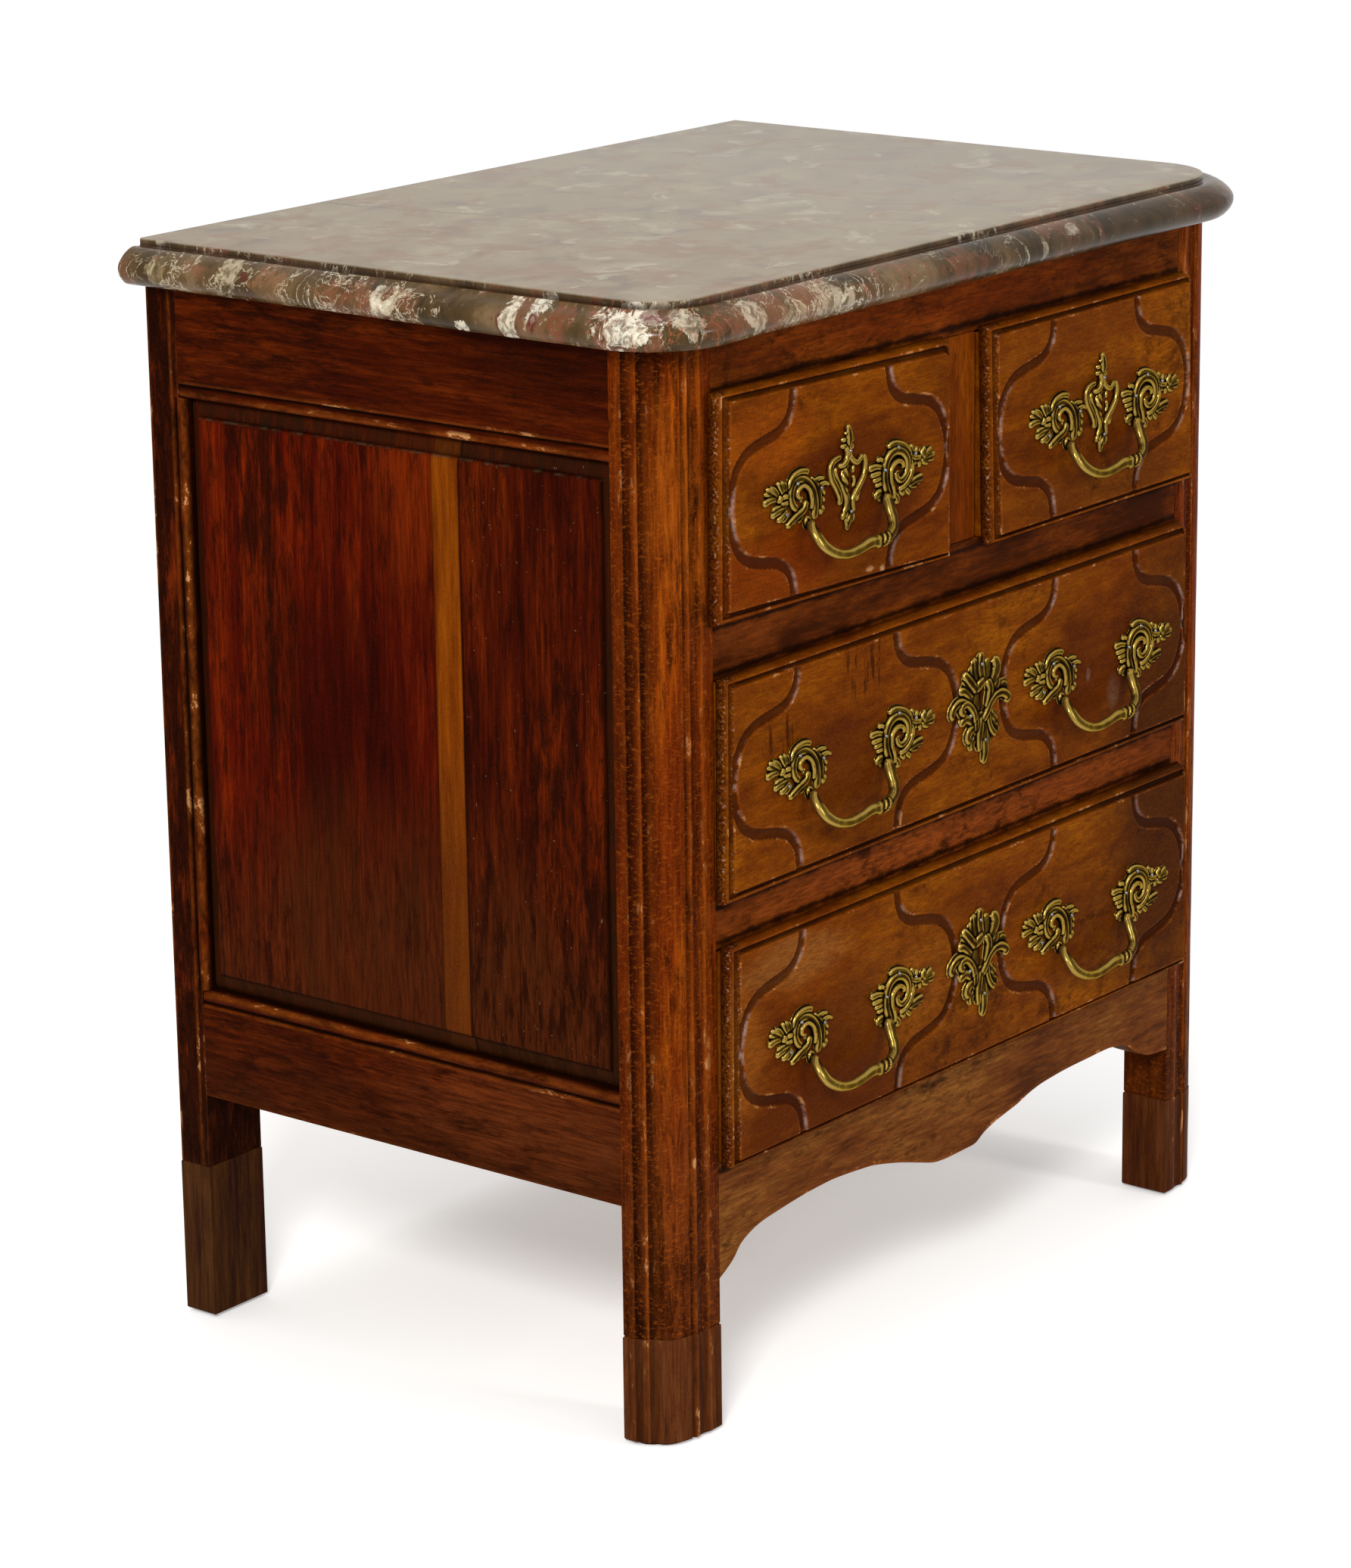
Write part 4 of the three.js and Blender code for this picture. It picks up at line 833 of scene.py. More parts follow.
# (x, z) along its shaped lower edge
APRON_EDGE = (
    (-301.2, 118.2), (-295, 121.5), (-288.6, 125.4), (-282, 130.5), (-275.6, 137.4), (-265.4, 142.5),
    (-251.6, 146.5), (-230, 149.5), (-207.6, 151.6), (-181, 153.2), (-158, 153.6), (-123, 151), (-107, 149),
    (-84, 143.7), (-66, 139), (-46, 133), (-29, 128), (-14, 126.6), (0, 126.6), (14, 126.8), (27, 127.6),
    (38.7, 133), (60, 138.8), (84.7, 143.5), (105, 148.6), (126, 151.6), (165, 153.3), (209, 153.6),
    (226, 152), (240, 149.5), (254, 140.5), (265, 135), (277, 130.9), (301.2, 128.8),
)
# (back from the front, up from the lower edge, in from the other edges, worn)
APRON_RINGS = ((0, 4.5, 0.5, 0.0), (0, 1.6, 0, 0.7), (0.5, 0.5, 0, 0.7), (1.8, 0, 0, 0.0),
               (APRON_THICKNESS - 1, 0, 0, 0.0), (APRON_THICKNESS, 1, 0, 0.0))


def make_apron():
    lower = curve_through(APRON_EDGE, 4)
    rings = []
    for back, lift, inset, worn in APRON_RINGS:
        y = CARCASS_FRONT + back
        ring = [(x, y, z + lift + APRON_WAVE * rough_at(x, 0, z, 0.03), worn) for x, z in lower]
        ring += [(side * (APRON_HALF - inset), y, APRON_TOP - inset, 0.0) for side in (1, -1)]
        rings.append(ring)
    make_piece("shaped_apron", *loft(rings), "apron", "front_apron", ["ridge"], crease=30)


make_marble()
post_step = 4
for side, hand in ((-1, "left"), (1, "right")):
    moulded_leg(f"{hand}_moulded_post", side, levels_between(FOOT_TOP, CARCASS_TOP, post_step), 0.0, 1.0,
                "post", f"front_{hand}_post")
    moulded_leg(f"{hand}_moulded_foot", side, levels_between(PAD_TOP, FOOT_TOP, post_step), 0.5, 1 / 1.5,
                "foot", f"front_{hand}_foot", True)
make_apron()


# Side frames: rails and rear posts with a bead along the panel, and boards with a raised field

OPEN_REAR, OPEN_FRONT = -29.2, -440.0
OPEN_LOW, OPEN_HIGH = 270.0, 733.0
BOTTOM_RAIL_LOW = 185.0
RAIL_THICK = 24.0
# how far a rail stops short of a post, and how far a panel reaches past the opening's edge
RAIL_GAP, PANEL_LAP = 0.3, 0.3
# (sink from the side's face, distance from the opening, painted shade in the quirks, worn)
BEAD = ((11.9, 0, 1, 0), (5.6, 0, 0.8, 0), (3.6, 0.3, 0.3, 0.2), (1.8, 1.4, 0, 0.7), (0.8, 3.0, 0, 0.9),
        (0.4, 5.0, 0, 0.4), (0.7, 7.0, 0, 0), (1.5, 8.5, 0.6, 0), (2.7, 9.3, 1, 0), (2.7, 10.2, 1, 0),
        (0.8, 10.9, 0.6, 0.4), (0.1, 12.0, 0, 0.6), (0, 14.0, 0, 0))
BEAD_OUT = 5.0
REAR_FOOT_TOP = 126.0
REAR_WIDTH = 59.0
# what closes a rear post's section behind its bead: (in from the side's face, y, worn)
REAR_BACK = ((0, -2.5, 0), (0, 0, 0.7), (2.5, 0, 0), (REAR_WIDTH - 2.5, 0, 0), (REAR_WIDTH, 0, 0.3),
             (REAR_WIDTH, OPEN_REAR, 0), (RAIL_THICK, OPEN_REAR, 0))
PANEL_BACK = 19.0
# (distance in from the opening, sink, painted shade in the groove, dust with painted shade over the margin)
# over the panel's edge
PANEL_EDGE = np.array((
    (0, 11.6, 1, 0.2), (1.5, 11.2, 0.8, 0.5), (4, 10.4, 0.35, 0.8), (10, 9.4, 0.3, 0.8),
    (12.6, 9.0, 0.5, 0.7), (13.4, 8.8, 0.9, 0.4), (13.9, 6.4, 0.5, 0.3), (15.2, 5.3, 0.1, 0.1),
    (17, 5.0, 0, 0), (400, 5.0, 0, 0),
))
# a pale line on the panel: how far under the opening's top, and how far it fades to each side
ASH_LINE, ASH_WIDTH = 14.3, 1.3
REAR_SEAM, FRONT_SEAM = -271.6, -297.0
SEAM_HALF = 0.1
# the band along the panel's edge whose grid is fine
PANEL_FINE = 18
# node: name, and its rear and front edges, where None is the opening's own edge, look, slot
BOARDS = {
    "left_panel_rear_board": ("left_rear_field", None, REAR_SEAM, "panel", "panel_wood"),
    "left_panel_middle_strip": ("left_strip_field", REAR_SEAM, FRONT_SEAM, "strip", "strip_wood"),
    "left_panel_front_board": ("left_front_field", FRONT_SEAM, None, "front_panel", "panel_wood"),
    "right_panel": ("right_field", None, None, "panel", "panel_wood"),
}


def side_rail(name, side, edge, far, node):
    """A rail with a bead along its edge on the opening, and flat out to its far edge."""
    away = 1 if far > edge else -1
    height = abs(far - edge)
    section = (*BEAD, (0, height - 3, 0, 0), (0, height, 0, 0.3), (RAIL_THICK, height, 0, 0),
               (RAIL_THICK, 0, 0, 0))
    rings = []
    for y in np.linspace(OPEN_FRONT + RAIL_GAP, OPEN_REAR - RAIL_GAP, 120):
        wave = RAIL_WAVE * rough_at(y * 0.02, away * 9.0, side * 3.0)
        ring = []
        for sink, dz, dark, worn in section:
            chip = RAIL_CHIP * worn * max(0.0, rough_at(y * 0.13, dz * 0.4, away * 5.0))
            inside = min(1.0, dz / 5) if dz < 20 else 0.0
            x = side * (HALF - sink - chip - 0.2 * inside)
            ring.append((x, y, edge + away * dz + wave * inside, dark, worn))
        rings.append(ring)
    make_piece(name, *loft(rings), "side_rail", node, WOOD_MARKS, crease=32)


def rear_post(name, side, node):
    """A square post, with the bead along the part of it that meets the panel."""
    rings = []
    turns = [level + half for level in (OPEN_LOW, OPEN_HIGH) for half in (-0.5, 0.5)]
    edge = OPEN_REAR - BEAD_OUT
    for z in sorted(levels_between(REAR_FOOT_TOP, CARCASS_TOP, 5) + turns):
        beaded = OPEN_LOW < z < OPEN_HIGH
        ring = []
        for sink, dy, dark, worn in BEAD:
            chip = REAR_CHIP * worn * max(0.0, rough_at(z * 0.13, dy * 0.4, side * 11.0))
            if beaded:
                ring.append((side * (HALF - sink - chip), edge + dy, z, dark, worn))
            else:
                x = side * (HALF - min(sink, 0.4) - chip * 0.5)
                ring.append((x, max(OPEN_REAR, edge + dy), z, 0.0, worn))
        ring += [(side * (HALF - inward), y, z, 0.0, worn) for inward, y, worn in REAR_BACK]
        rings.append(ring)
    make_piece(name, *loft(rings), "rear_post", node, WOOD_MARKS, crease=32)


def panel_board(node, name, rear, front, look, slot):
    """One board of a side panel: a grid for its face, closed by a flat back inside the grooves."""
    side = 1 if node.startswith("right") else -1
    step = 2.2
    height = OPEN_HIGH - OPEN_LOW
    fine = np.arange(0, PANEL_FINE, 0.6)
    field_zs = np.linspace(PANEL_FINE, height - PANEL_FINE, 90)
    zs = OPEN_LOW + np.concatenate([fine, field_zs, height - fine[::-1]])
    near_rear = [rear] if rear else OPEN_REAR + PANEL_LAP - fine
    near_front = [front] if front else OPEN_FRONT - PANEL_LAP + fine[::-1]
    middle = np.arange(near_rear[-1] - step, near_front[0] + step * 0.4, -step)
    y, z = np.meshgrid(np.concatenate([near_rear, middle, near_front]), zs, indexing="ij")
    inset = np.minimum.reduce([OPEN_REAR + PANEL_LAP - y, y - OPEN_FRONT + PANEL_LAP,
                               z - OPEN_LOW, OPEN_HIGH - z])
    sink, dark, dust = (np.interp(inset, PANEL_EDGE[:, 0], PANEL_EDGE[:, i]) for i in (1, 2, 3))
    ash = np.clip(1 - np.abs(OPEN_HIGH - z - ASH_LINE) / ASH_WIDTH, 0, 1) * (inset > 12)
    field = np.clip((inset - 16) / 6, 0, 1)
    sink = sink + field * (0.25 * np.sin(y * 0.031 + 1.0) + 0.12 * np.sin(y * 0.11 + z * 0.01))
    for seam, strength in ((REAR_SEAM, 0.55), (FRONT_SEAM, 0.9)):
        dark = np.maximum(dark, strength * (np.abs(y - seam) < SEAM_HALF) * (side < 0))
    grid = np.stack([side * (HALF - sink), y, z, dark, dust, ash], 2)
    solid = backed_grid(grid, 0, side * (HALF - PANEL_BACK), 0.0)
    make_piece(name, *solid, look, node, ("cavity", "dust", "ash"), crease=30, slot=slot)


for side, hand in ((-1, "left"), (1, "right")):
    side_rail(f"{hand}_beaded_top_rail", side, OPEN_HIGH, CARCASS_TOP, f"{hand}_top_rail")
    side_rail(f"{hand}_beaded_bottom_rail", side, OPEN_LOW, BOTTOM_RAIL_LOW, f"{hand}_bottom_rail")
    rear_post(f"{hand}_beaded_rear_post", side, f"rear_{hand}_post")
for node, board in BOARDS.items():
    panel_board(node, *board)


# Drawer fronts: a lipped board with a roll and a quirk round its field, and gouged ovals in it

LIP_BASE = 3.0
LIP_BAND = 12.0
# the left edge, which the camera sees into, keeps its roll and glint over this width
LEFT_BAND = 17
# the grid is finest this near to the front's edge, and fine up to here
FINEST_BAND, FINE_BAND = 6, 15
# by the way in from the lip's edge to the field's, which is LIP_BAND
LIP_PROFILE = {
    "proud": ((0, 3.6), (0.15, 5.5), (0.8, 8.2), (2.1, 10.3), (3.7, 11.3), (5.1, 11.4), (6.1, 10.7),
              (6.7, 9.6), (7.3, 9.0), (9.0, 8.8), (10.4, 9.3), (11.0, 10.6), (11.4, 12.2), (12, 12.9),
              (13, 13)),
    # dark is painted shade along the lip's outer edge and in the quirk
    "dark": ((0, 0.7), (0.8, 0.1), (5.3, 0), (6.0, 0.95), (6.7, 0.9), (7.6, 0.5), (10.2, 0.45),
             (11.2, 0.35), (12, 0)),
    "worn": ((0, 0), (3.0, 0), (4.4, 0.5), (5.8, 0.4), (6.4, 0), (11.4, 0), (12, 0.75), (12.7, 0.4),
             (13.5, 0)),
    "quirk": ((5.8, 0), (6.4, 0.9), (10.6, 0.8), (11.4, 0)),
    "roll": ((0, 1), (1.2, 0.95), (2.6, 0.4), (4.4, 0.05), (5.6, 0.3), (6.4, 0.5), (11.3, 0.5), (12, 0)),
    "glint": ((0.5, 0), (0.9, 0.8), (1.9, 0.6), (3.0, 0), (10.7, 0), (11.2, 1), (11.8, 1), (12.2, 0)),
}
DRAWER_MARKS = ("cavity", "ridge", "roll", "glint", "groove", "wall_highlight")
# a quarter of an oval, in shares of its half width and half height
OVAL_SHARES = ((0.43, 1.16), (0.436, 1.03), (0.452, 0.87), (0.49, 0.75), (0.57, 0.655), (0.71, 0.6),
               (0.83, 0.545), (0.915, 0.44), (0.965, 0.29), (0.99, 0.14), (1, 0))
GOUGE_HALF = 4.5
GOUGE_DEPTH = 2.9
# below 1, the gouge's floor is fuller than a parabola
GOUGE_CURVE = 0.62
BODY_THICKNESS = 18
BODY_BACK = CARCASS_FRONT + BODY_THICKNESS
# the room for the lock in the back of the front: how deep, half as wide, and how far below the keyhole
LOCK_DEPTH = 9.3
LOCK_HALF = 31.3
LOCK_BELOW = 12.3
KEYHOLE_HALF = 11.5
KEYHOLE_FLOOR = -6.0
SLOT_HALF = 2.9
# name: lip and field, each as (x, z) at bottom left, bottom right, top left and top right, for the
# drawers are a little out of square; then the body's box, the lock's x and z, the ovals as (middle x,
# half width, half height), and the round of the field's top right corner
DRAWERS = {
    "small_left": (((-310.3, 612.4), (-25.6, 608.7), (-308.6, 779.2), (-25.6, 775.4)),
                   ((-297.2, 621.3), (-29.6, 614.1), (-294.8, 771.4), (-29.8, 764.8)),
                   (-300.2, -26.4, 614.3, 770), (-159.4, 693), ((-164.4, 132.3, 72.7),), 6.0),
    "small_right": (((25.6, 608.0), (307.6, 609.0), (21.6, 775.6), (303.0, 776.3)),
                    ((39.5, 614.3), (304.0, 615.8), (33.5, 767.8), (298.4, 769.0)),
                    (25.4, 300.2, 614.3, 770), (171.4, 693), ((165.4, 131.3, 72.7),), 1.5),
    "upper_long": (((-304.8, 406.0), (304.6, 409.8), (-302.9, 572.4), (302.4, 576.0)),
                   ((-295.1, 414.3), (300.8, 417.3), (-294.1, 565.1), (296.2, 566.8)),
                   (-300.2, 300.2, 414.3, 569), (10, 492.5), ((-157.5, 138.4, 72.2), (168.3, 128.2, 72.2)),
                   1.5),
    "lower_long": (((-301.9, 205.6), (308.6, 203.6), (-300.5, 373.8), (306.4, 375.2)),
                   ((-291.0, 210.6), (305.1, 209.2), (-288.9, 366.1), (302.9, 365.6)),
                   (-299.2, 300.2, 209.8, 369), (10, 290.25),
                   ((-155.5, 135.9, 74.45), (170.3, 131.2, 74.45)), 1.5),
}


def oval_lines(middle_z, middle_x, half, rise):
    shares = curve_through(OVAL_SHARES, 0.05)
    return [np.stack([middle_x + sx * half * shares[:, 0], middle_z + sz * rise * shares[:, 1]], 1)
            for sx in (-1, 1) for sz in (-1, 1)]


def nearest(x, z, line):
    """How far each grid point lies from a line of points."""
    best = np.full(x.shape, 1e9)
    for a, b in zip(line[:-1], line[1:]):
        way = b - a
        share = np.clip(((x - a[0]) * way[0] + (z - a[1]) * way[1]) / (way @ way), 0, 1)
        best = np.minimum(best, np.hypot(x - a[0] - share * way[0], z - a[1] - share * way[1]))
    return best


def stations(length, fine, coarse):
    """Shares of a length, close together near both ends."""
    edge = np.concatenate([np.arange(0, FINEST_BAND, fine * 0.7), np.arange(FINEST_BAND, FINE_BAND, fine)])
    middle = np.linspace(FINE_BAND, length - FINE_BAND, int((length - 2 * FINE_BAND) / coarse))
    return np.concatenate([edge, middle, length - edge[::-1]]) / length


def inset_from(lip, field, x, z, corner):
    """How far in each point lies: 0 at the lip's edge and LIP_BAND at the field's."""
    def edge_at(quad, a, b, along, axis):
        (a_along, a_off), (b_along, b_off) = (quad[a][::axis], quad[b][::axis])
        return a_off + (b_off - a_off) * ((along - a_along) / (b_along - a_along))

    sides = []
    for a, b, along, off, axis, sign in ((0, 2, z, x, -1, 1), (1, 3, z, x, -1, -1), (0, 1, x, z, 1, 1),
                                         (2, 3, x, z, 1, -1)):
        outer, inner = (edge_at(quad, a, b, along, axis) for quad in (lip, field))
        gap, band = sign * (off - outer), sign * (inner - outer)
        sides.append(np.where(gap < band, gap / band * LIP_BAND, LIP_BAND + gap - band))
    inset = np.minimum.reduce(sides)
    across, up = (corner - (sides[i] - LIP_BAND) for i in (1, 3))
    rounded = LIP_BAND + corner - np.hypot(across, up)
    return np.where((across > 0) & (up > 0), np.minimum(inset, rounded), inset)


def make_drawer_front(name, lip, field, body, lock, ovals, corner, seed):
    """The lipped front: a grid for its face, and slabs behind it that leave room for the lock."""
    fine, coarse = ((0.7, 1.0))
    u = stations(lip[1][0] - lip[0][0], fine, coarse)[:, None]
    v = stations(lip[2][1] - lip[0][1], fine, coarse)[None, :]
    corners = np.asarray(lip)
    x, z = ((corners[0, i] * (1 - u) + corners[1, i] * u) * (1 - v)
            + (corners[2, i] * (1 - u) + corners[3, i] * u) * v for i in (0, 1))
    inset = inset_from(lip, field, x, z, corner)
    profiles = (np.interp(inset, *zip(*table)) for table in LIP_PROFILE.values())
    proud, dark, worn, quirk, roll, glint = profiles
    ripple = 0.1 * np.sin(z * 0.21 + 0.7 * np.sin(x * 0.013 + seed))
    ripple = ripple + 0.08 * np.sin(x * 0.043 + z * 0.05 + seed)
    proud = proud + np.clip((inset - LIP_BAND) / 3, 0, 1) * ripple
    on_left = np.clip((lip[0][0] + LEFT_BAND - x) / 2, 0, 1)
    # the quirk is painted dark as shade on every side but the left, which faces the light
    dark = np.maximum(dark, quirk * (1 - on_left))
    roll = roll * np.maximum(on_left, 0.2)
    glint = glint * on_left

    # the gouged ovals
    groove, wall_highlight = np.zeros((2, *x.shape))
    inside = np.clip((inset - 11) / 1.5, 0, 1)
    for line in [line for oval in ovals for line in oval_lines(lock[1], *oval)]:
        away = nearest(x, z, line)
        cut = np.clip(1 - (away / GOUGE_HALF) ** 2, 0, 1)
        before = proud
        proud = proud - GOUGE_DEPTH * cut ** GOUGE_CURVE * inside
        groove = np.maximum(groove, np.clip((GOUGE_HALF - away) / 0.6, 0, 1) * inside)
        # the gouge walls that slope to face the light, on the left, get a painted highlight
        facing = np.gradient(proud - before, axis=0) / np.gradient(x, axis=0)
        wall_highlight = np.maximum(wall_highlight, np.clip((facing - 0.55) / 0.5, 0, 0.9) * inside)
        rim = np.clip(1 - np.abs(away - GOUGE_HALF - 0.2) / 0.9, 0, 1) * (inset > 12)
        worn = np.maximum(worn, 0.8 * rim)

    # the keyhole, and the body with a room for the lock
    slot = np.hypot(x - lock[0], np.maximum(0, np.abs(z - lock[1]) - (KEYHOLE_HALF - SLOT_HALF)))
    proud = np.where(slot < SLOT_HALF, KEYHOLE_FLOOR, proud)
    # the keyhole is painted dark, as shade in the hole
    dark = np.where(slot < SLOT_HALF, 1.0, dark)
    front = CARCASS_FRONT - LIP_BASE
    grid = np.stack([x, CARCASS_FRONT - proud, z, dark, worn, roll, glint, groove, wall_highlight], 2)
    # the walls and back behind the face are painted dark, as shade in the gap round the drawer
    points, faces = backed_grid(grid, 1, front, 1.0)
    points = points.tolist()
    left, right, bottom, top = body
    split = BODY_BACK - LOCK_DEPTH
    lock_left, lock_right = lock[0] - LOCK_HALF, lock[0] + LOCK_HALF
    slabs = (
        (left, right, front, split, bottom, top),
        (left, lock_left, split, BODY_BACK, bottom, top),
        (lock_right, right, split, BODY_BACK, bottom, top),
        (lock_left, lock_right, split, BODY_BACK, bottom, lock[1] - KEYHOLE_HALF - LOCK_BELOW),
    )
    unmarked = [0.0] * len(DRAWER_MARKS)
    for x0, x1, y0, y1, *ends in slabs:
        corners = ((x0, y0), (x1, y0), (x1, y1), (x0, y1))
        add_part(points, faces, *loft([[(x, y, z, *unmarked) for x, y in corners] for z in ends]))
    make_piece(f"{name}_lipped_front", points, faces, "drawer", f"{name}_drawer_front", DRAWER_MARKS,
               crease=38, body=f"{name}_drawer", slot="drawer_wood")


for seed, (name, parts) in enumerate(DRAWERS.items()):
    make_drawer_front(name, *parts, seed=1.7 * seed)


# Brasses. A row is one stroke of a casting: its half width at the start, middle and end, its rise, and
# then x and z of each point of its line, in millimetres from the casting's middle.

LEFT_ROSETTE = (
    (3.8, 3.5, 3.1, 4.6, -45, -15, -43.5, -7, -44, 0, -47, 7.5, -52.5, 13.5, -60.5, 17.5, -68, 16.5, -72,
     11.5, -72.5, 5.5, -69.5, -0.5, -64.5, -4),
    (2, 1.8, 1.7, 5.4, -48.5, -7, -49, 1.5, -52.5, 8.5, -59, 12.5, -65, 10.5, -66, 6.5, -62, 3),
    (3.3, 3.3, 3.3, 5.6, -63, 3.5, -60.5, 2),
    (2.1, 2.4, 2.8, 4.4, -75, 12, -73.5, 17, -70, 21, -62.5, 23, -54.5, 22, -51, 20),
    (2.6, 3.1, 2.8, 3.6, -49, 16, -41.5, 9, -38.5, 2.5, -38.5, -5, -39, -8.5),
    (1.8, 2, 1.3, 3.2, -45.5, 13, -38, 14, -31.5, 13),
    (2, 2.1, 1.3, 3.4, -40.5, 8.5, -32, 9.5, -25.5, 7),
    (1.8, 1.8, 1.4, 3, -39, 5.5, -33, 3, -31, 0.5),
    (1.8, 2, 1.6, 3, -38, 0, -33, -2.5, -32.5, -5),
    (2.8, 4, 3.5, 3.8, -39, -7.5, -34, -10.5, -33, -12),
    (1.8, 2.3, 1.8, 3.2, -80.5, 9.5, -84.5, 15, -88, 20),
    (1.8, 2.3, 1.8, 3.6, -80, 10.5, -82, 15.5, -83.5, 20.5),
    (1.8, 2.3, 1.8, 3.2, -78.5, 10.5, -79, 15.5, -79, 19),
    (2, 2.1, 1.7, 3, -74, 12, -76, 14, -77, 16),
    (2, 2.3, 1.7, 3.4, -86.5, 9, -93.5, 14, -101, 17),
    (1.8, 2.1, 1.6, 3, -88, 8.5, -96, 12, -103, 13.5),
    (2.1, 2.6, 3, 3.6, -88.5, 7.5, -97, 8, -104.5, 6),
    (1.7, 2, 1.6, 3.2, -86, 9.5, -92, 15.5, -97.5, 17),
    (2.3, 2.6, 2.3, 4.2, -88.5, 9, -85, 7, -89, 6),
    (2, 2.3, 2, 4, -75, 7, -80.5, 8, -83, 6.5),
    (2.3, 2.8, 2.4, 3.4, -76.5, -1, -87.5, -2, -95.5, -4.5),
    (2.3, 2.8, 2.6, 3.8, -76, -2.5, -84, -6.5, -88.5, -9),
    (2.1, 2.6, 2.1, 3.4, -74, -4, -80, -8, -82.5, -10.5),
    (2, 2.3, 1.8, 3, -82.5, 0.5, -90, 1, -94, -0.5),
    (2.8, 3.3, 2.6, 4.2, -53, 1, -57, -5.5, -66, -9, -74.5, -13, -77.5, -15.5),
    (2.3, 2.6, 2, 3.4, -61.5, -7, -66.5, -11.5, -70.5, -13.5),
    (2.3, 2.6, 2, 3.4, -58, -6.5, -61.5, -11.5, -64.5, -13.5),
    (2, 2.1, 1.7, 3, -72.5, 3.5, -79, 2.5, -84, 3),
    (3.5, 4, 3.5, 5, -54, -10.5, -53, -15.5, -49.5, -20.5),
)
RIGHT_ROSETTE = (
    (3.8, 3.8, 2.3, 4.8, 47, -17, 43.5, -8.5, 41, -0.5, 41.5, 7.5, 45, 14, 52.5, 18, 62, 16.5, 68.5, 10.5,
     69.5, 3.5, 67, -2, 61, -5, 56, -2, 55.5, 2.5),
    (2, 2, 2.1, 5.4, 52.5, -17.5, 50.5, -9.5, 47.5, -3, 47.5, 4.5, 51, 8.5, 57, 10, 62.5, 7.5, 63.5, 3),
    (2.8, 2.8, 2.8, 5.6, 55.5, 3.5, 56, 1.5),
    (2.8, 2.3, 2, 4.4, 46.5, 20, 48.5, 23, 55.5, 23.5, 64, 21, 70.5, 16.5, 74, 10),
    (2, 2.4, 2, 4.2, 73, 9, 75.5, 1.5, 72, -5, 65.5, -10, 58.5, -11.5),
    (1.8, 2, 1.7, 3.2, 41.5, 11.5, 36.5, 14.5, 32, 14),
    (2, 2.3, 3.1, 3.8, 40.5, 7.5, 30.5, 10, 22, 9.5),
    (1.8, 2.1, 2.3, 3.4, 40.5, 4.5, 32, 4.5, 24.5, 4),
    (1.8, 2.1, 2, 3.2, 41, 1, 33.5, 0.5, 27.5, -0.5),
    (1.8, 2.1, 1.8, 3, 42, -3, 36, -3.5, 30.5, -4.5),
    (3.1, 3.3, 3.3, 4, 38.5, -10, 32.5, -10.5, 29.5, -14),
    (2.6, 2.8, 2.3, 3.4, 40.5, -12.5, 36, -14, 34, -16.5),
    (2.8, 2.8, 2.8, 4.2, 51, -14, 56, -17, 55.5, -22.5),
    (2.3, 2.4, 2, 3.6, 69.5, 14, 78, 9, 87.5, 7.5),
    (1.8, 2.1, 2, 3.2, 77, 11, 75, 16, 75.5, 20),
    (1.8, 2.1, 1.8, 3.2, 79, 11, 80.5, 14, 83, 16.5),
    (1.8, 2, 1.8, 3, 73, 13.5, 70.5, 16, 69.5, 18.5),
    (2, 2.6, 2.3, 3.6, 87, 7.5, 90, 12.5, 92.5, 15),
    (2, 2.6, 2.3, 3.8, 88.5, 7, 96.5, 11, 101, 12.5),
    (2, 2.6, 2.1, 3.6, 89, 6.5, 97.5, 7.5, 105, 7.5),
    (2, 2.6, 2.1, 3.2, 89, 5.5, 97.5, 4.5, 104, 3.5),
    (2, 2.3, 1.8, 3, 87, 5, 92.5, 2.5, 97, 1.5),
    (2, 2.3, 1.8, 3, 81, 7.5, 85.5, 2.5, 84, 0),
    (2, 2.3, 2, 3.2, 75.5, 5.5, 79, 5, 82, 5.5),
    (2.8, 3.1, 3.8, 4.2, 69.5, -11, 79.5, -8, 90, -7.5),
    (2.1, 2.6, 2.1, 3.4, 74, -10, 82, -10, 87, -11),
    (2.1, 2.6, 2.1, 3.2, 70, -11.5, 78, -12, 82, -13.5),
    (2.1, 2.6, 2.1, 3.2, 66, -12, 71, -15.5, 74, -18),
    (2.1, 2.6, 2.3, 3.4, 59.5, -12, 64, -15.5, 65, -18),
)
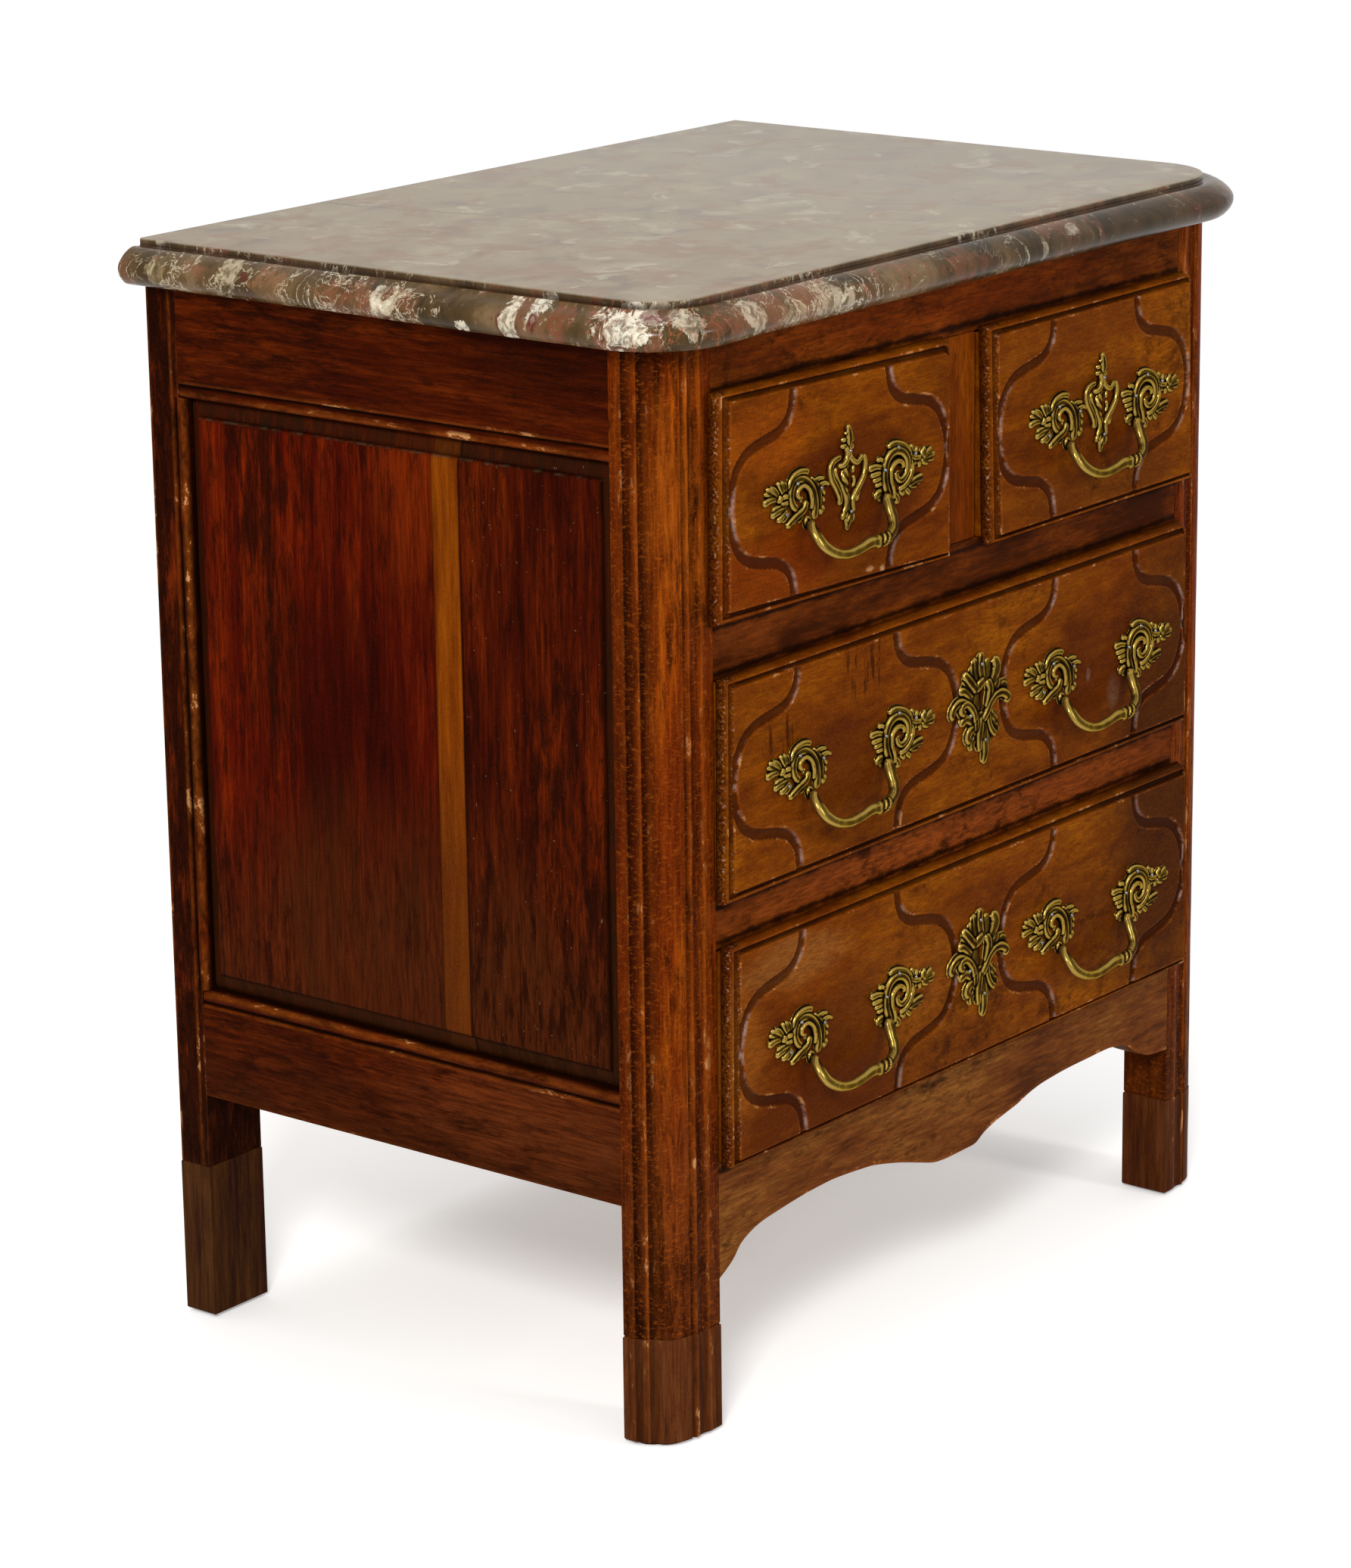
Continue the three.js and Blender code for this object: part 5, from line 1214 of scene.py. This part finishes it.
# the twisted column in the lyre's middle
LYRE_COLUMN = (2.4, 4.2, 2.8, 4, -2.5, 14.9, -4.6, 6.7, -4.9, -1.9, -3.2, -10.9)
LYRE_PLATE = (
    (2.2, 4, 1.6, 4.6, 0.1, 22.5, 1.2, 29.1, 0.2, 35.4, -1.1, 40.9),
    (1.6, 1.9, 2, 3.8, -2.9, 29.2, -6, 29.8, -8.7, 30.2),
    (1.6, 2, 1.9, 3.8, -1.9, 24.7, -6, 25.1, -9.5, 25.1),
    (1.4, 1.6, 1.5, 3.8, -1.9, 33.3, -3.4, 34.3, -4.4, 35.2),
    (1.8, 2.6, 2.2, 3.4, 1.7, 27.8, 4.7, 28.5, 7.5, 29.2),
    (1.6, 2.2, 1.8, 3.2, 1.1, 22.9, 4.2, 23.3, 7.1, 24.1),
    (1.4, 1.8, 1.4, 3.2, 1.2, 34.3, 2.9, 35.3, 3.5, 36.7),
    (2.2, 2.6, 2, 5.2, -4.5, 25.1, -2.5, 20.5, -3.2, 15.7, -7.1, 12.1, -13.2, 11.6),
    (2, 3, 2.6, 4.6, -8.6, 17.9, -15.2, 17.2, -20.3, 15, -22.2, 9.8, -20.4, 3.3, -14.9, -4.4, -11.1, -11.3,
     -11.2, -17.8),
    (1.6, 2, 2.2, 4, -14.8, 11.6, -16.1, 7.5, -13.3, 0.8, -7, -6.5, -3.4, -13.9, -3.7, -20.1, -6.1, -24.3),
    (2, 2.4, 2, 4.4, 0.6, 20, 3.6, 14.2, 9.3, 11, 13.9, 13, 16.7, 15.9),
    (1.8, 2.6, 2.2, 4.8, 17.5, 15.8, 19.8, 9.8, 18.3, 1.4, 12.8, -5.7, 7.1, -10.9, 3.8, -17.1, 5.2, -25.4),
    (1.6, 2, 1.8, 3.4, 15.2, -6.8, 11.2, -12.3, 10, -18.2),
    LYRE_COLUMN,
    (1.2, 1.5, 1.3, 3.4, 6.4, 9.7, 5.4, 6.8, 4.7, 3.2),
    (1.3, 1.6, 1.4, 2.8, 6.4, 2.3, 7.2, -2.8, 5.6, -7.5),
    (2.6, 2.6, 2.4, 3.4, -2.1, -9.2, -0.6, -15.7, 0.4, -22.1, -0.2, -26.3),
    (2.6, 4.6, 1.2, 4, -0.6, -21.9, -0.7, -28.1, -2.5, -37.7),
    (1.6, 2, 1.9, 3.6, -3.7, -22.6, -6.8, -25.1, -7.2, -29.4),
    (1.2, 1.5, 1.3, 4.6, 0.4, -25.8, -1.7, -28.5, -3.3, -31.3),
    (1.5, 2, 1.6, 3.2, 2.9, -23.8, 5.5, -28, 3.1, -32.5),
)
LEAF_PLATE = (
    (3.5, 4.2, 2.8, 4.2, 1.5, 13, -2, 26.5, 0, 37.5),
    (2.8, 3.1, 1.8, 3.6, -2.5, 12, -7.5, 23, -9, 34.5),
    (2.8, 3.1, 2.3, 3.4, -5.5, 9.5, -11.5, 20, -13, 29.5),
    (3.1, 3.5, 3.1, 5, -6.5, 7.5, -16.5, 17, -24.5, 25),
    (3.3, 5, 3.8, 4.4, 12.5, 9, 19.5, 21, 16.5, 30),
    (3.1, 2.8, 1.8, 3, 7.5, 13, 8.5, 23.5, 7, 31),
    (2.8, 3.8, 3.1, 4.2, 12.5, 2.5, 19.5, 8.5, 22.5, 13),
    (2.8, 3.5, 3.3, 3.2, 19.5, 1, 28.5, 5.5, 35, 2.5),
    (3.1, 2.8, 3.5, 5.4, 0.5, -17.5, 6.5, -10.5, 10.5, -4.5, 17.5, 0, 26.5, 0, 34, -4.5, 30, -8),
    (2.8, 2.6, 2.6, 4.2, 8.5, -10, 9.5, -20.5, 14, -27.5, 20, -31.5),
    (2.6, 2.8, 3.1, 3.4, 10.5, -11.5, 16.5, -17.5, 21, -21.5),
    (2.6, 3.1, 2.8, 3.4, 12.5, -21.5, 20, -26, 22, -30.5),
    (2.6, 2.8, 3.1, 3.8, -11.5, 1.5, -22.5, 10.5, -29.5, 11),
    (2.6, 2.7, 2.1, 3.4, -10.5, 7.5, -20.5, 16, -25.5, 19.5),
    (3.1, 2.8, 3.1, 4.8, -7.5, -24, -8.5, -12, -17.5, -1.5, -28.5, 3.5, -36.5, 1, -39.5, -4, -35.5, -7),
    (2.6, 2.8, 2.8, 5.2, -8.5, -16.5, -12.5, -6.5, -20.5, 0.5, -26.5, 0, -27.5, -4, -21.5, -7),
    (2.8, 3.1, 3.1, 3.8, -10.5, -17, -19.5, -11.5, -25.5, -13.5, -27.5, -16),
    (2.8, 3.5, 3.1, 4.2, -8.5, -20.5, -15.5, -22, -18.5, -26.5, -13.5, -30.5),
    (3.1, 2.9, 3.1, 3.4, -7.5, -28.5, -12.5, -32.5, -10.5, -38),
    (2.8, 3.5, 2, 4.4, 1.5, -12.5, -1.5, -22, -3.5, -32, -2.5, -41),
    (3.3, 4, 2.8, 4, 3.5, -17, 4.5, -31, 5, -43, 2, -51.5),
    (2.6, 2.8, 1.8, 3, 5.5, -22.5, 8.5, -31.5, 11, -38),
    (2.6, 2.8, 1.8, 3, 7.5, -20, 13, -28, 16, -33.5),
    (2.8, 3.1, 2.8, 3, -5.5, 12.5, -7.5, 1.5, -3.5, -10),
    (3.1, 3.5, 2.3, 4.8, 7.5, 14.5, 10.5, 6.5, 8.5, -1.5, 5.5, -8.5),
    (3.3, 3.8, 3.3, 5, -9.5, 8, -3.5, 12.5, 3.5, 15.5),
    (2.8, 3.1, 2.8, 3.2, -5.5, -11, 0.5, -12.5, 5.5, -12),
)
# The bail's line: x, how far it stands off the front, and z
BAIL = (
    (-50.5, 4, -16), (-55, 8.5, -19), (-56.5, 14, -24.5), (-53, 18, -31.5), (-42, 20, -38),
    (-28, 20, -41), (-13.5, 20, -40), (-1.5, 19.5, -38), (10.5, 19, -39), (23, 17.5, -38.5),
    (33.5, 15, -34.5), (37.5, 12, -28), (39, 8.5, -21.5), (41, 5, -16), (42.5, 3.5, -11),
)
# share of the bail's length, and how thick half of it is there
BAIL_HALF = ((0, 5.0), (0.3, 3.8), (0.6, 4.1), (1, 5.2))
# where along the bail its collar and its reeded part lie, and the reeded part's shape
COLLAR_SHARE = 0.62
REEDED_SHARES = (0.635, 0.75)
REEDED_HALF, REEDED_RISE, REEDED_TWIST = 4.9, 4.4, 0.13
# (x, z, how far it stands off the wood) of each nail
NAILS = {
    "handle": ((-67.5, 15.5, 4.6), (-37.5, 7.0, 3.6), (-79.0, -5.0, 3.4), (39.0, 6.5, 4.4),
               (78.0, 12.0, 3.6), (56.0, 20.5, 4.2)),
    "lyre": ((0.6, 20.9, 3.6), (1.4, -23.8, 3.6)),
    "leaf": ((-3.0, 28.5, 4.4), (2.5, -32.0, 4.2), (-18.5, -8.5, 5.0)),
}
NAIL_RADIUS = 1.5
# (share of that radius, height) of the rings of a nail's head
NAIL_HEAD = ((1, 0), (0.92, 0.5), (0.6, 1.0))
# strokes at least this broad are ribbons with a wide hollow, and the rest are leaf lobes
BROAD = 2.9
COLUMN_TWIST = 0.14
LEAF_FULLER = 1.22
# the thin web that joins a casting's lobes: how much wider than a stroke, and how high
HANDLE_WEB = (0.9, 1.5)
LEAF_WEB = (2.4, 2.6)
# points round each tube
AROUND = 14
# a twisted tube's flutes, and how far they turn in each millimetre
FLUTES, FLUTE_TURN = 3, 0.9
VOXEL = 0.45
# the patina and painted shade of a level place high up, and what a bend or a low place adds to it
PATINA_AND_SHADE, PATINA_AND_SHADE_BEND, PATINA_AND_SHADE_LOW = 0.33, 5.5, 0.42
LOW_BAND = 2.6


def swept(line, widths, heights, groove=0.0, twist=0.0, spread=0.3):
    """A closed tube along (x, out, z) points: oval, domed at its ends, with a groove along its back."""
    line = np.asarray(line, float)
    steps = np.linalg.norm(np.diff(line, axis=0), axis=1)
    run = np.concatenate([[0], np.cumsum(steps)])
    rings = []
    for i, here in enumerate(line):
        a, b = line[max(0, i - 1)], line[min(len(line) - 1, i + 1)]
        ahead = (b - a) / max(np.linalg.norm(b - a), 1e-6)
        side = np.cross(ahead, (0, 1, 0))
        side /= max(np.linalg.norm(side), 1e-6)
        outward = np.cross(side, ahead)
        end = min(run[i], run[-1] - run[i]) / max(widths[i], 0.1)
        dome = math.sqrt(max(0.02, 1 - (1 - min(end, 1)) ** 2))
        ring = []
        for angle in (2 * math.pi * k / AROUND for k in range(AROUND)):
            across, above = math.cos(angle), math.sin(angle)
            cut = groove * math.exp(-(across / spread) ** 2) if above > 0 else 0.0
            flute = 1 + twist * math.cos(FLUTES * angle + run[i] * FLUTE_TURN)
            ring.append(here + side * widths[i] * dome * across * flute
                        + outward * heights[i] * dome * above * (1 - cut) * flute)
        rings.append(ring)
    return loft(rings)


def unpack(stroke, out, step):
    """A stroke's line, its half widths along it, and its rise."""
    line = curve_through([(x, out, z) for x, z in zip(stroke[4::2], stroke[5::2])], step)
    return line, np.interp(np.linspace(0, 1, len(line)), (0, 0.5, 1), stroke[:3]), stroke[3]


def stroke_part(stroke, fuller=1.0):
    """One stroke as a tube: a ribbon or leaf with a hollow along it, or the twisted column."""
    line, half, rise = unpack(stroke, 0.0, 1.0)
    # a leaf swells up towards its middle and lies on the wood at both ends
    tall = rise * (0.72 + 0.28 * np.sin(np.linspace(0.35, 2.6, len(line))))
    line[:, 1] = tall * 0.5 - 0.2
    shape = {"groove": 0.36, "spread": 0.34}
    if stroke is LYRE_COLUMN:
        shape = {"twist": COLUMN_TWIST}
    elif max(stroke[:3]) >= BROAD:
        shape = {"groove": 0.42, "spread": 0.62}
    return swept(line, half * fuller, tall * 0.5 + 0.3, **shape)


def web_part(stroke, out, height):
    """The low web under a stroke."""
    line, half, _ = unpack(stroke, height * 0.4, 1.5)
    return swept(line, half + out, np.full(len(line), height * 0.6))


def bail_parts():
    """The bail, with its collar and the leaf beside it, and its reeded part."""
    line = curve_through(BAIL, 1.0)
    count = len(line)
    share = np.linspace(0, 1, count)
    near = np.exp(-((share - COLLAR_SHARE) / 0.02) ** 2)
    leaf = np.exp(-((share - COLLAR_SHARE + 0.06) / 0.05) ** 2)
    half = np.interp(share, *zip(*BAIL_HALF)) * (1 + 0.28 * near + 0.12 * leaf)
    reeded = line[slice(*(int(count * end) for end in REEDED_SHARES))]
    half_reeded, rise_reeded = (np.full(len(reeded), size) for size in (REEDED_HALF, REEDED_RISE))
    return [swept(line, half, half * 0.8, groove=0.2, spread=0.4),
            swept(reeded, half_reeded, rise_reeded, twist=REEDED_TWIST)]


def mesh_of(name, parts):
    """One mesh of closed parts, written as (x, out, z) from the casting's middle."""
    points, faces = [], []
    for part in parts:
        add_part(points, faces, *part)
    return solid_mesh(name, [(x * MM, -out * MM, z * MM) for x, out, z in points], faces)


def cast_mesh(name, parts):
    """Melts overlapping closed parts into one casting."""
    holder = new_object(f"{name}_raw", mesh_of(f"{name}_raw", parts))
    melt = holder.modifiers.new("melt", "REMESH")
    melt.mode = "VOXEL"
    melt.voxel_size = VOXEL * MM
    soften = holder.modifiers.new("soften", "SMOOTH")
    soften.factor = 0.5
    soften.iterations = 2
    graph = bpy.context.evaluated_depsgraph_get()
    mesh = bpy.data.meshes.new_from_object(holder.evaluated_get(graph))
    mesh.name = name
    bpy.data.objects.remove(holder)
    mark_hollows(mesh)
    return finish_mesh(mesh, "brass")


def mark_hollows(mesh):
    """Writes how hollow (1) or proud (0) each point of a casting is, for its patina and painted shade."""
    def read(layer, key, width, kind=float):
        values = np.empty(len(layer) * width, kind)
        layer.foreach_get(key, values)
        return values.reshape(-1, width)

    place = read(mesh.vertices, "co", 3)
    normal = read(mesh.vertex_normals, "vector", 3)
    pairs = read(mesh.edges, "vertices", 2, np.int64)
    degree = np.maximum(np.bincount(pairs.ravel(), minlength=len(place)), 1)[:, None]

    def averaged(values, times):
        for _ in range(times):
            total = np.zeros_like(values)
            np.add.at(total, pairs[:, 0], values[pairs[:, 1]])
            np.add.at(total, pairs[:, 1], values[pairs[:, 0]])
            values = total / degree
        return values

    bend = averaged(((averaged(place, 4) - place) * normal).sum(1)[:, None] / MM, 3)
    low = np.clip(1 + place[:, 1:2] / (LOW_BAND * MM), 0, 1)
    write_mark(mesh, "cavity", np.clip(PATINA_AND_SHADE + PATINA_AND_SHADE_BEND * bend + PATINA_AND_SHADE_LOW * low, 0, 1).ravel())


def nail_mesh(name, places):
    """Round-headed nails, each on a thin shank."""
    parts = []
    for x, z, out in places:
        head = [(NAIL_RADIUS * share, out + rise) for share, rise in NAIL_HEAD]
        rings = [[(x + radius * math.cos(t), height, z + radius * math.sin(t))
                  for t in np.linspace(0, 2 * math.pi, 13)[:-1]]
                 for radius, height in ((0.5, -1.5), (0.5, out - 0.3), *head, (0.3, out + 1.2))]
        parts.append(loft(rings))
    return finish_mesh(mesh_of(name, parts), "steel", crease=50)


ROSETTES = LEFT_ROSETTE + RIGHT_ROSETTE
CASTING_PARTS = {
    "handle": [*map(stroke_part, ROSETTES), *bail_parts(), *(web_part(s, *HANDLE_WEB) for s in ROSETTES)],
    "lyre": [stroke_part(s) for s in LYRE_PLATE],
    "leaf": [stroke_part(s, LEAF_FULLER) for s in LEAF_PLATE] + [web_part(s, *LEAF_WEB) for s in LEAF_PLATE],
}
CASTINGS = {kind: cast_mesh(f"{kind}_casting", parts) for kind, parts in CASTING_PARTS.items()}
NAIL_MESHES = {kind: nail_mesh(f"{kind}_nails", places) for kind, places in NAILS.items()}
# node: casting, x and z of its middle
BRASSES = {
    "small_left_handle": ("handle", -156.4, 686),
    "small_right_handle": ("handle", 176.4, 686),
    "upper_long_left_handle": ("handle", -155.5, 485.5),
    "upper_long_right_handle": ("handle", 171.3, 485.5),
    "lower_long_left_handle": ("handle", -155.5, 283.25),
    "lower_long_right_handle": ("handle", 171.3, 283.25),
    "small_left_escutcheon": ("lyre", -159.4, 693),
    "small_right_escutcheon": ("lyre", 171.4, 693),
    "upper_long_escutcheon": ("leaf", 10, 492.5),
    "lower_long_escutcheon": ("leaf", 10, 290.25),
}
for node, (kind, x, z) in BRASSES.items():
    body = "_".join(node.split("_")[:2]) + "_drawer"
    at = metres([(x, FIELD, z)])[0]
    place_piece(f"{node}_casting", CASTINGS[kind], body, [node], at)
    place_piece(f"{node}_nails", NAIL_MESHES[kind], body, (), at)


# The CAD parts that stay: each gets its look, and all but the locks, the back top rail and the drawer
# bottoms get softened edges

SOFT_WIDTH = 0.9
# look: nodes
CAD_LOOKS = {
    "rear_foot": ["rear_left_foot", "rear_right_foot"],
    "front_rail": ["front_top_rail", "upper_drawer_rail", "lower_drawer_rail"],
    "divider": ["drawer_divider"],
    "inner_wide": ["back_top_rail"] + [f"{name}_drawer_bottom" for name in DRAWERS],
    "left_back": ["left_back_board"],
    "middle_back": ["middle_back_board"],
    "right_back": ["right_back_board"],
    "inner": [f"{level}_runner_frame" for level in ("upper", "middle", "lower")]
             + [f"{name}_drawer_carcass" for name in DRAWERS],
    "iron": [f"{name}_lock_{half}" for name in DRAWERS for half in ("case", "bolt")],
}


def soften_edges(part):
    weld = part.modifiers.new("weld", "WELD")
    weld.merge_threshold = 0.02 * MM
    bevel = part.modifiers.new("soft edges", "BEVEL")
    bevel.width = SOFT_WIDTH * MM
    bevel.segments = 2
    bevel.limit_method = "ANGLE"
    bevel.angle_limit = math.radians(40)
    bevel.harden_normals = False


for look, names in CAD_LOOKS.items():
    for part in (nodes[name] for name in names):
        part.data.materials.clear()
        part.data.materials.append(LOOKS[look])
        if look not in ("iron", "inner_wide"):
            soften_edges(part)


# Floor, and the view transform

def make_floor():
    half = FLOOR_SIZE / 2
    corners = [(-half, -half, 0), (half, -half, 0), (half, half, 0), (-half, half, 0)]
    mesh = bpy.data.meshes.new("floor")
    mesh.from_pydata(corners, [], [(0, 1, 2, 3)])
    mesh.materials.append(floor_look())
    floor = new_object("floor", mesh)


make_floor()
scene = bpy.context.scene
scene.view_settings.view_transform = "Standard"
